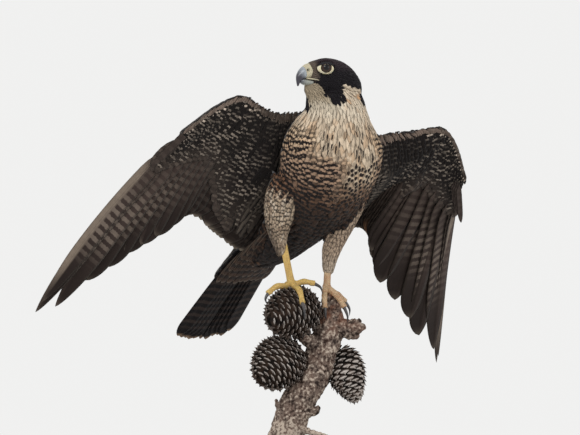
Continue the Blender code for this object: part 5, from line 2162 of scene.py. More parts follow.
@dataclass
class Plumes:
    """The flight feathers and the coverts of one wing, over and under it."""

    wing: Wing
    seed: int = 23
    bar_pitch: float = mm(10.2)
    rows: int = 14
    covert_gap: float = mm(5.9)
    over_pitch: float = mm(6.5)
    marble_pitch: float = mm(6.2)
    alula_quill: int = 18
    # share of each feather's length that the patterned coverts reach to, tertials to outer primary
    under_reach: dict = field(default_factory=lambda: {
        Side.RIGHT: (UNDER_QUILLS, (0.8, 0.82, 0.74, 0.6, 0.42, 0.36, 0.28, 0.2, 0.14)),
        Side.LEFT: (UNDER_QUILLS, (0.8, 0.8, 0.52, 0.46, 0.38, 0.32, 0.27, 0.2, 0.13)),
    })
    over_reach: tuple = ((0, 3, 10, 13, 16, 22), (0.7, 0.5, 0.46, 0.36, 0.28, 0.16))
    # how light the front edge is, tertials to outer primary
    edge_light: dict = field(default_factory=lambda: {
        Side.RIGHT: ((0, 8, 11, 14, 18, 22), (0.05, 0.055, 0.11, 0.17, 0.15, 0.10)),
        Side.LEFT: ((0, 11, 14, 22), (0.16, 0.16, 0.08, 0.035)),
    })
    # how close the first three rows stand, as shares of the gap, and how far roots stray
    front_gaps: tuple = (0.6, 0.8, 1.0)
    stray: float = 0.012
    last_stray: float = 0.026
    # along each covert: the share of its length, and its rise off the row before
    covert_rise: tuple = ((0.0, -0.0004), (0.5, 0.0006), (1.0, 0.0014))
    last_rise: tuple = ((0.0, 0.0012), (0.5, 0.0018), (1.0, 0.0026))

    def __post_init__(self) -> None:
        """The draws for this wing."""
        self.draws = np.random.default_rng(self.seed + self.wing.side.hand)

    def widths(self) -> Array:
        """How wide each vane is: enough to close on its neighbours near the tips.

        Returns:
            A width in metres for each vane, of which its grid's sides are shares.
        """
        wing = self.wing
        middles = wing.root + (wing.tip - wing.root) * 0.85
        gaps = np.abs(dot(np.diff(middles, axis=0), wing.forward[1:]))
        wider = np.maximum(np.append(gaps, gaps[-1:]), np.append(gaps[:1], gaps))
        widths = np.clip(1.6 * wider, mm(27), mm(37))
        widths[-2:] = mm(21)
        return widths

    def flights(self) -> tuple[Surface, Looks]:
        """The primaries, secondaries and tertials, each kind on its own grid.

        Returns:
            The vanes and their values.
        """
        wing = self.wing
        kinds = (
            (range(0, TERTIALS), flight_form(wing.secondary_lead, 0.74, 2.4)),
            (range(TERTIALS, FIRST_PRIMARY), flight_form(wing.secondary_lead, 0.87, 1.3)),
            (range(FIRST_PRIMARY, NARROW_QUILL), flight_form(wing.primary_lead, 0.80, 2.3)),
            (range(NARROW_QUILL, wing.count), flight_form(wing.primary_lead, 0.66, 1.7)),
        )
        widths = self.widths()
        surfaces, looks = [], []
        for numbers, form in kinds:
            k, rows = np.array(numbers), np.array(form.rows)
            places = wing.shafts(k.astype(float), np.tile(rows, (len(k), 1)))
            forward, normal = wing.forward[k][:, None], wing.normal[k][:, None]
            twist = wing.tilt[k][:, None, None] * (1 - 0.25 * rows[None, :, None])
            across = forward * np.cos(twist) + normal * np.sin(twist)
            out = normal * np.cos(twist) - forward * np.sin(twist)
            half = widths[k] * self.draws.uniform(0.97, 1.03, len(k))
            surfaces.append(form.lay(places, across, out, half).outward())
            looks.append(self.flight_looks(form, k))
        return Surface.join(surfaces), Looks.join(looks)

    def flight_looks(self, form: VaneForm, numbers: Array) -> Looks:
        """Bars on the inner webs, a plain dark end, and slate on the upper faces.

        Args:
            form: the grid that the feathers share.
            numbers: which feathers they are.

        Returns:
            The values of every point.
        """
        row, u, face = form.grid()
        v = np.tile(np.array(form.rows)[row], len(numbers))
        u, face = np.tile(u, len(numbers)), np.tile(face, len(numbers))
        k = np.repeat(numbers, len(row))
        above, primary, length = face > 0.5, k >= FIRST_PRIMARY, self.wing.length[k]
        left = self.wing.side is Side.LEFT
        inner = ease(0.02, -0.25, u) * ease(-1.05, -0.8, u)
        hand_low = np.interp(v, (0.1, 0.30, 0.42, 0.62, 0.76), (0.1, 0.3, 0.95, 0.9, 0))
        arm_low = np.interp(v, (0.2, 0.4, 0.86, 0.96), (0.1, 0.75, 0.6, 0.1))
        arm_bars = (0.25 + 0.75 * inner) * arm_low * 0.45
        bars = np.where(primary, (0.35 + 0.65 * inner) * hand_low, arm_bars)
        bars = np.where((k >= EDGE_QUILL) & (u > 0), 0.2 * hand_low, bars)
        by_number = np.interp(k, (12, 13, 16, 18, 20), (0.6, 0.15, 0.3, 0.8, 1))
        bars *= np.where(above, 0.45, 1.0) * by_number
        starts = np.repeat(self.draws.normal(0, 0.2, len(numbers)), len(row))
        made = Markings.plain(
            UMBER, QUILL_BAR, len(v), bars=bars, beat=length / self.bar_pitch, duty=0.50, start=starts
        )
        made.ground *= np.where(primary & (u > 0.1), 1.5, 1.0)[:, None]
        made.ground *= np.interp(v, (0, 0.5, 0.85), (1.5, 1.25, 0.6))[:, None]
        front = (k >= EDGE_QUILL) & (u > (-0.75 if left else -0.1))
        made.blend(front * ease(0.08, 0.25, v) * ease(1.0, 0.75, v), WING_FRONT)
        made.put(above, ground=np.array(SLATE) * 0.85, mark=SLATE_BAR)
        rusty = ((k == 8) | (k == 9)) & left & ~above
        made.blend(rusty * ease(0.82, 0.98, v) * 0.8, SECONDARY_RUST)
        tip = ease(0.95, 1.0, v) * np.where(primary, 0.15, 0.55)
        made.edging = np.maximum(tip, 0.08 * (np.abs(u) > 0.9))
        shade = self.draws.uniform(0.85, 1.12, len(numbers))
        made.ground *= np.repeat(shade, len(row))[:, None]
        return made.looks({"Plume": form.plume_map(len(numbers))})

    def share_at(self, at: Array, way: Array, reach: Array) -> Array:
        """The wing's own share for a way from its front edge to the coverts' far line.

        Args:
            at: fractional feathers.
            way: shares of the way to the far line.
            reach: how far along the feathers that line lies.

        Returns:
            A share for each, as the wing's chord reads it.
        """
        wing = self.wing
        base = np.linalg.norm(wing.read(wing.root, at) - wing.read(wing.lead, at), axis=1)
        length = wing.read(wing.length, at)
        run = way * (base + reach * length)
        return np.where(run < base, run / base, 1 + (run - base) / length)

    def coverts(self, face: int) -> tuple[Surface, Markings, Array]:
        """Rows of coverts on one face, 1 above and -1 below, the front rows over the rear ones.

        Args:
            face: 1 for the upper side, -1 for the lower.

        Returns:
            The vanes, their markings, and their roots' places on an unwrap of the wing.
        """
        wing, draws = self.wing, self.draws
        table = self.over_reach if face > 0 else self.under_reach[wing.side]
        lines, normals, halves, marks, charts = [], [], [], [], []
        every = np.linspace(0, wing.count - 1, 200)
        reach_all = np.interp(every, *table)
        for row in range(self.rows):
            way = (row + 1.0) / self.rows
            path = wing.chord(every, self.share_at(every, np.full(200, way), reach_all))
            run = np.concatenate([[0], np.cumsum(np.linalg.norm(np.diff(path, axis=0), axis=1))])
            gap = self.covert_gap * (0.72 + 0.5 * way) * self.front_gaps[min(row, 2)]
            count = int(run[-1] / gap)
            spots = (np.arange(count) + 0.5 * (row % 2) + draws.uniform(-0.16, 0.16, count)) * gap
            at = np.interp(np.clip(spots, 0, run[-1]), run, every)
            reach = np.interp(at, *table)
            lean = 0.9 * (1 - way) * np.interp(at, (0, 12, 22), (0.2, 0.7, 0.9))
            size = (1.7 + 1.5 * way) / self.rows * draws.uniform(0.93, 1.07, count)
            size = size * np.interp(way, (0.07, 0.28), (0.55, 1.0))
            if row == 0:
                size = size * draws.uniform(0.65, 1.0, count)
            stray = self.stray if row < self.rows - 1 else self.last_stray
            end = way + draws.normal(0, stray, count)
            line, normal = [], []
            for step, rise in self.covert_rise:
                feather = np.clip(at - lean * (1 - step), 0, wing.count - 1)
                share = self.share_at(feather, np.maximum(end - size * (1 - step), 0.0), reach)
                out = wing.read(wing.normal, feather) * face
                depth = np.maximum(wing.depth(share), 0.0026 * ease(0.95, 1.2, share))
                lift = rise * min(1.0, 0.3 + 3 * way)
                depth = depth * np.clip(0.35 + share / 0.14, 0, 1) + lift + 0.0006 * (1 - way)
                line.append(wing.chord(feather, share) + out * depth[:, None])
                normal.append(out)
            lines.append(np.stack(line, axis=1))
            normals.append(np.stack(normal, axis=1))
            halves.append(np.full(count, gap) * (0.68 + 0.06 * way) * draws.uniform(0.95, 1.08, count))
            marks.append(self.covert_marks(face, way, at, lines[-1]))
            root_share = self.share_at(at, np.maximum(end - size, 0.0), reach)
            charts.append(np.stack([0.02 + 0.96 * at / wing.count, 0.04 + root_share * 0.45], axis=-1))
        line, normal = np.vstack(lines), unit(np.vstack(normals))
        surface = curved_vanes(COVERT_VANE, line, normal, np.concatenate(halves))
        return surface, Markings.join(marks), np.vstack(charts)

    def covert_marks(self, face: int, way: float, at: Array, line: Array) -> Markings:
        """Marbling below, broken but in step with the next rows, and slate with paler bars above.

        Args:
            face: 1 for the upper side, -1 for the lower.
            way: how far back the row lies.
            at: fractional feathers.
            line: each covert's root, middle and tip.

        Returns:
            A row of markings for each covert.
        """
        draws, count = self.draws, len(at)
        length = np.linalg.norm(line[:, 2] - line[:, 0], axis=1)
        gap = np.linalg.norm(line[:, 2] - self.wing.read(self.wing.lead, at), axis=1)
        if face > 0:
            made = Markings.plain(
                SLATE, SLATE_BAR, count, bars=draws.uniform(0.3, 0.9, count),
                beat=length / self.over_pitch, duty=0.42, edging=0.35 + 0.25 * way,
            )
            made.ground *= draws.uniform(0.8, 1.15, (count, 1))
            return made
        made = Markings.plain(UNDER_COVERT, MARBLE, count)
        patch = ripple(line[:, 2], 0.03, 31) * 0.25
        made.bars = np.clip(draws.uniform(-0.25, 1.3, count) + patch, 0, 1)
        made.bars *= 1 - 0.75 * ease(0.62, 0.3, way) * ease(11, 8, at) * ease(1, 3, at)
        made.beat = length / self.marble_pitch
        made.start = (gap - length) / self.marble_pitch + draws.normal(0, 0.26, count)
        made.duty[:] = draws.uniform(0.22, 0.36, count)
        made.mark *= draws.uniform(0.45, 1.1, (count, 1))
        made.blend(ease(0.7, 1.0, way) * 0.7, UNDER_COVERT_REAR)
        # painted shade: near the body the marbling thins to faint streaks, where the wing's root lies in the
        # body's shadow
        body_shade = ease(4.5, 2.5, at) * ease(0.25, 0.45, way) * draws.uniform(0.2, 1, count)
        made.streak = body_shade * 0.4
        made.bars *= 1 - 0.5 * body_shade
        if way < 0.1:
            light = np.interp(at, *self.edge_light[self.wing.side])
            made.ground = light[:, None] * np.array(EDGE_WARMTH)
            made.ground *= draws.uniform(0.6, 1.25, (count, 1))
            made.mark *= 0.8
            made.edging[:] = 0.45 * draws.uniform(0, 1, count)
        elif way < 0.16:
            made.mark *= 1 + 1.5 * ease(7, 9, at)[:, None]
        return made

    def plain_coverts(self) -> tuple[Surface, Markings, Array]:
        """The plain grey-brown greater coverts that show below the patterned ones.

        Returns:
            The vanes, their markings, and their roots' places on the unwrap.
        """
        wing, draws = self.wing, self.draws
        at = np.arange(4, wing.count - 0.5, 0.8)
        reach = np.interp(at, *self.under_reach[wing.side])
        line = []
        for step, lift in self.last_rise:
            longer = 0.16 + 0.05 * (at < FIRST_PRIMARY)
            share = 1 + np.maximum(reach - 0.12, 0.02) + step * longer
            normal = wing.read(wing.normal, at)
            line.append(wing.chord(at, share) - normal * (lift + 0.0008))
        normals = np.repeat(-wing.read(wing.normal, at)[:, None], 3, axis=1)
        half = np.full(len(at), mm(6.4)) * draws.uniform(0.95, 1.05, len(at))
        made = Markings.plain(
            UNDER_COVERT_LAST, QUILL_BAR, len(at), bars=draws.uniform(0.1, 0.5, len(at)), beat=3.6,
            start=draws.normal(0, 0.25, len(at)), duty=0.4,
        )
        made.ground *= draws.uniform(0.8, 1.15, (len(at), 1))
        chart = np.stack([0.02 + 0.96 * at / wing.count, np.full(len(at), 0.97)], axis=-1)
        return curved_vanes(COVERT_VANE, np.stack(line, axis=1), unit(normals), half), made, chart

    def alula(self) -> tuple[Surface, Looks]:
        """The bastard wing: four narrow stiff feathers along the front edge of the hand.

        Returns:
            The vanes and their values.
        """
        root, tip = DRAWING.place(self.wing.alulas[self.wing.side])
        form = flight_form(0.35, 0.7, 2.2, mm(0.45))
        rows = np.array(form.rows)
        number = self.alula_quill
        normal, forward = self.wing.normal[number], self.wing.forward[number]
        steps = np.arange(4)[:, None, None]
        reach = 1 - 0.14 * steps
        places = root + (tip - root) * rows[None, :, None] * reach
        places = places - forward * mm(2.2) + normal * mm(1.5)
        places = places + steps * (normal * mm(1.0) - forward * mm(1.8))
        arch = (4 * rows * (1 - rows))[None, :, None]
        places = places + arch * (forward * mm(1.2) + normal * mm(0.8))
        shape = (4, len(rows), 3)
        tilt = self.wing.tilt[number]
        across = np.broadcast_to(forward * math.cos(tilt) + normal * math.sin(tilt), shape)
        out = np.broadcast_to(normal * math.cos(tilt) - forward * math.sin(tilt), shape)
        count = 4 * len(form.grid()[0])
        made = Markings.plain(ALULA, QUILL_BAR, count, bars=0.12, beat=6, duty=0.4)
        looks = made.looks({"Plume": form.plume_map(4)})
        return form.lay(places, across, out, np.full(4, mm(8.5))).outward(), looks

    def pieces(self, finish: bpy.types.Material) -> None:
        """Makes the wing's pieces, which together stand for its solid.

        Args:
            finish: the plumage's material.
        """
        side = self.wing.side.value
        node = (f"wing_{side}",)
        flights, alula = self.flights(), self.alula()
        surface = Surface.join([flights[0], alula[0]])
        looks = Looks.join([flights[1], alula[1]])
        make_piece(f"flight_feathers_{side}", surface, finish, "plumage_dark", looks, node)
        for word, layers in (
            ("over", [self.coverts(1)]),
            ("under", [self.coverts(-1), self.plain_coverts()]),
        ):
            chart = np.vstack([layer[2] for layer in layers])
            maps = {"Plume": COVERT_VANE.plume_map(len(chart))}
            maps["OFBake"] = patch_map(COVERT_VANE, chart)
            looks = Markings.join([layer[1] for layer in layers]).looks(maps, COVERT_VANE.spread)
            surface = Surface.join([layer[0] for layer in layers])
            make_piece(f"coverts_{word}_{side}", surface, finish, "plumage_dark", looks, node)


@dataclass
class Tail:
    """Twelve tail feathers in a narrow fan, the middle pair on top, with coverts over their roots."""

    root: tuple = (mm(-49), mm(58), mm(303))
    tip: tuple = (mm(-135), mm(166), mm(184))
    left: tuple = (0.733, 0.680, 0.0)
    pairs: int = 6
    root_step: float = mm(4.4)
    tip_step: float = mm(7.0)
    vane: float = mm(13.0)
    tilt: float = math.radians(9)
    centre_lift: float = mm(2)
    rounding: float = mm(9)
    bar_pitch: float = mm(11)
    # how far down the fan each row of coverts ends, and each covert's places from there with lifts
    covert_ways: tuple = (0.42, 0.36, 0.30, 0.24, 0.18, 0.12, 0.06)
    covert_line: tuple = ((-0.26, 0.0), (-0.13, 2.2), (0.0, 2.0))
    seed: int = 41

    def __post_init__(self) -> None:
        """The fan's directions."""
        self.draws = np.random.default_rng(self.seed)
        root, tip = np.array(self.root), np.array(self.tip)
        self.length = float(np.linalg.norm(tip - root))
        self.along = unit(tip - root)
        self.across = flat(np.array(self.left), self.along)
        top = np.cross(self.across, self.along)
        self.top = top if top[1] > 0 else -top

    def feather(self, hand: int, k: int) -> tuple[Surface, Looks]:
        """One tail feather: a straight shaft that fans out and bows a little down at its end.

        Args:
            hand: 1 for the left half, -1 for the right.
            k: its number out from the middle.

        Returns:
            The feather and its values.
        """
        rows = 1 - (1 - np.linspace(0, 1, 30)) ** 1.3
        reach = self.length - self.rounding * (k / (self.pairs - 1)) ** 2
        reach *= self.draws.uniform(0.955, 1.0)
        out = (k + 0.5) * (self.root_step + (self.tip_step - self.root_step) * rows)
        sag = -self.top * mm(5) * (rows**2)[:, None]
        places = np.array(self.root) + self.along * (rows * reach)[:, None]
        places = places + self.across * hand * out[:, None] + sag
        middle = k == 0 and hand == 1
        if middle:
            places = places + self.top * self.centre_lift
        outer = width_curve(rows, (0.05, 0.2), 0.87, 2.1, 0.02)
        limit = np.maximum(out - mm(0.7), mm(1)) / self.vane
        inner = outer * 0.7 if middle else np.minimum(outer, limit)
        form = VaneForm(
            tuple(rows), tuple(outer * (0.72 if k == self.pairs - 1 else 0.9)), tuple(inner),
            (-1, -0.7, -0.4, -0.08, 0, 0.3, 0.65, 1), mm(0.5), 0.06,
        )
        shape = (1, len(rows), 3)
        axis = self.across * hand * math.cos(self.tilt) + self.top * math.sin(self.tilt)
        face = self.top * math.cos(self.tilt) - self.across * hand * math.sin(self.tilt)
        across, out = np.broadcast_to(axis, shape), np.broadcast_to(face, shape)
        surface = form.lay(places[None], across, out, np.array([self.vane])).outward()
        return surface, self.feather_looks(form, rows, reach)

    def feather_looks(self, form: VaneForm, rows: Array, reach: float) -> Looks:
        """Dark brown below and slate above, barred across, with a pale end.

        Args:
            form: the feather's grid.
            rows: shares of its length.
            reach: its length.

        Returns:
            The values of every point.
        """
        row, _, side = form.grid()
        v = rows[row]
        made = Markings.plain(
            TAIL_BELOW, TAIL_BAR, len(v), bars=0.75 * ease(0.15, 0.3, v) * ease(0.95, 0.88, v),
            beat=reach / self.bar_pitch, duty=0.42,
        )
        made.put(side > 0.5, ground=np.array(SLATE) * 0.8, mark=SLATE_BAR)
        made.blend(ease(0.972, 0.988, v), TAIL_END)
        made.ground *= self.draws.uniform(0.9, 1.1)
        return made.looks({"Plume": form.plume_map(1)})

    def coverts(self, face: int) -> tuple[Surface, Looks]:
        """Rows of long soft feathers over the fan's root on one face, 1 above and -1 below.

        Args:
            face: which face.

        Returns:
            The vanes and their values.
        """
        draws = self.draws
        lines, normals = [], []
        for row, way in enumerate(self.covert_ways):
            count = 9 - row % 2
            across = np.linspace(-1, 1, count) * mm(29 - 1.0 * row) + draws.normal(0, mm(0.8), count)
            line = []
            for share, lift in self.covert_line:
                along = (way + share + draws.normal(0, 0.006, count)) * self.length
                spread = across * (1 + 0.5 * (way + share))
                crown = (1 - (across / mm(34)) ** 2) * mm(8) * (1 - 0.6 * (way + share) / 0.36)
                rise = crown + (lift + 0.7 * row) * MM
                base = np.array(self.root) + self.along * along[:, None]
                line.append(base + self.across * spread[:, None] + self.top * face * rise[:, None])
            lines.append(np.stack(line, axis=1))
            normals.append(np.broadcast_to(self.top * face, lines[-1].shape))
        line, normal = np.vstack(lines), np.vstack(normals)
        count = len(line)
        ground, mark, edging = (SLATE, SLATE_BAR, 0.5) if face > 0 else (UNDER_TAIL, INK, 0.2)
        made = Markings.plain(ground, mark, count, bars=0.9, beat=3.2, duty=0.45, edging=edging)
        made.ground *= draws.uniform(0.85, 1.15, (count, 1))
        surface = curved_vanes(COVERT_VANE, line, normal, np.full(count, mm(7.2)))
        maps = {"Plume": COVERT_VANE.plume_map(count)}
        return surface, made.looks(maps, COVERT_VANE.spread)

    def piece(self, finish: bpy.types.Material) -> None:
        """Makes the tail as one piece.

        Args:
            finish: the plumage's material.
        """
        parts = [self.feather(hand, k) for k in range(self.pairs) for hand in (1, -1)]
        parts += [self.coverts(1), self.coverts(-1)]
        surface, looks = Surface.join([p[0] for p in parts]), Looks.join([p[1] for p in parts])
        make_piece("tail_feathers", surface, finish, "plumage_dark", looks, ("tail",))


def horn_map(rings: Array) -> dict[str, Array]:
    """A map over a loft: the share round each ring, and the share from the first ring to the last.

    Args:
        rings: the loft's rings.

    Returns:
        The map by its name.
    """
    turns, count = rings.shape[:2]
    along, around = np.meshgrid(np.linspace(0, 1, turns), np.arange(count) / count, indexing="ij")
    grid = np.stack([around, along], axis=-1).reshape(-1, 2)
    return {"Horn": np.vstack([grid, [[0.5, 0.0], [0.5, 1.0]]])}


def side_word(side: int) -> str:
    """The word for a side: 1 is left, -1 is right."""
    return "left" if side > 0 else "right"


@dataclass
class Eyes:
    """The eyeballs, and the bare ring of skin and lids round each."""

    head: Head
    opening: tuple = (mm(6.4), mm(6.2))
    brow_line: float = mm(2.9)
    ring_ahead: float = mm(10.6)
    ring_behind: float = mm(9.3)
    ring_down: float = mm(7.5)
    ring_up: float = mm(4.2)
    # the brow ridge's sections: ahead, up, out and radius
    arch: tuple = (
        (10.2, 2.4, -0.4, 0.6),
        (7.2, 3.8, 2.3, 1.5),
        (3.2, 4.5, 4.9, 2.2),
        (-1.5, 4.5, 5.3, 2.3),
        (-6.0, 3.6, 4.0, 1.8),
        (-9.8, 2.0, 0.6, 0.6),
    )
    # the ring's profile: share from the inner to the outer rim, rise, and share of the slope
    ring_profile: tuple = (
        (-0.04, -0.3, 0.0), (0.02, 0.25, 0.0), (0.10, 0.75, 0.0), (0.20, 0.8, 0.04),
        (0.32, 0.45, 0.15), (0.46, 0.55, 0.32), (0.60, 0.5, 0.50), (0.72, 0.15, 0.66),
        (0.84, 0.15, 0.84), (0.95, -0.2, 0.96), (1.03, -1.2, 1.0), (0.8, -2.6, 0.8),
        (0.3, -2.2, 0.3),
    )
    sides: int = 72

    def ball(self, side: int) -> None:
        """The eyeball: rings of a sphere from its front, swollen there as a cornea.

        Args:
            side: 1 for the left eye, -1 for the right.
        """
        middle, out, ahead, upward = self.head.eye_frame(side)
        polar = np.linspace(0.02, math.pi - 0.02, 40)
        radius = self.head.eye_radius * (1 + 0.05 * bell(polar, 0.62))
        c, s = circle(self.sides)
        about = c[:, None] * ahead + s[:, None] * upward
        rings = middle + about[None] * (radius * np.sin(polar))[:, None, None]
        rings = rings + out * (radius * np.cos(polar))[:, None, None]
        looks = Looks(maps=horn_map(rings))
        looks.maps["Horn"][-2:, 1] = (0.0, 1.0)
        node = f"eye_{side_word(side)}"
        finish = EyeFinish(name=node).make()
        make_piece(f"eyeball_{side_word(side)}", loft(rings), finish, "eye_dark", looks, (node,))

    def ring(self, side: int, finish: bpy.types.Material) -> None:
        """The bare ring: a closed profile of rim, slope and underside carried round the eye.

        Its inner rim lies on the ball, cut off level under the brow, and its outer rim is a drop
        drawn out towards the bill.

        Args:
            side: 1 for the left eye, -1 for the right.
            finish: its material.
        """
        middle, out, ahead, upward = self.head.eye_frame(side)
        angles = np.arange(self.sides) * math.tau / self.sides
        c, s = np.cos(angles), np.sin(angles)
        inner = np.stack([c * self.opening[0], s * self.opening[1]], axis=-1)
        excess = np.maximum(inner[:, 1] - self.brow_line, 0)
        inner[:, 1] -= excess * 0.85
        reach = np.where(c > 0, self.ring_ahead, self.ring_behind)
        lift = np.where(s > 0, self.ring_up, self.ring_down)
        outer = np.stack([c * reach, s * lift + 0.09 * c * reach], axis=-1)
        radius = self.head.eye_radius * 1.012
        base = np.sqrt(np.maximum(radius**2 - dot(inner, inner), 0))
        rim = mm(2.3) - mm(0.6) * c
        rows = []
        for share, rise, slope in self.ring_profile:
            spot = inner + (outer - inner) * share
            height = base * (1 - slope) + rim * slope + rise * MM
            crease = mm(0.12) * np.sin(angles * 19 + share * 9) * (0.2 < share < 0.95)
            place = spot[:, :1] * ahead + spot[:, 1:] * upward + (height + crease)[:, None] * out
            rows.append(middle + place)
        index = np.arange(len(rows) * self.sides).reshape(len(rows), self.sides)
        right, down = np.roll(index, -1, axis=1), np.roll(index, -1, axis=0)
        corner = np.roll(right, -1, axis=0)
        quads = np.stack([index, right, corner, down], axis=-1).reshape(-1, 4)
        surface = Surface(np.array(rows).reshape(-1, 3), quads).outward()
        make_piece(f"eye_ring_{side_word(side)}", surface, finish, "cere_yellow")

    def brow(self, side: int, finish: bpy.types.Material) -> None:
        """The dark ridge over the eye: an arched tube, thickest in its middle, set on the lid.

        Args:
            side: 1 for the left eye, -1 for the right.
            finish: its material.
        """
        middle, out, ahead, upward = self.head.eye_frame(side)
        rows = smooth_rows(self.arch, np.linspace(0, len(self.arch) - 1, 40)) * MM
        places = middle + rows[:, :1] * ahead + rows[:, 1:2] * upward + rows[:, 2:3] * out
        angles = np.arange(24) * math.tau / 24
        stir = 1 + 0.06 * np.sin(angles * 3 + np.arange(40)[:, None] * 0.9)
        rings = tube_rings(places, rows[:, 3], 24)
        rings = places[:, None] + (rings - places[:, None]) * stir[..., None]
        make_piece(f"eye_brow_{side_word(side)}", loft(rings), finish, "plumage_dark")

    def pieces(self) -> None:
        """Makes both eyes."""
        finish = BareSkinFinish(
            "eye_ring", tone=(0.84, 0.77, 0.57), shade=(0.74, 0.64, 0.42), groove=(0.42, 0.32, 0.15),
            cell=mm(0.7), relief=mm(0.15), roughness=0.45,
        ).make()
        lid = BareSkinFinish(
            "brow_skin", tone=(0.010, 0.008, 0.010), shade=(0.010, 0.008, 0.010),
            groove=(0.005, 0.004, 0.005), cell=mm(0.8), relief=mm(0.2), roughness=0.85,
        ).make()
        for side in (1, -1):
            self.ball(side)
            self.ring(side, finish)
            self.brow(side, lid)


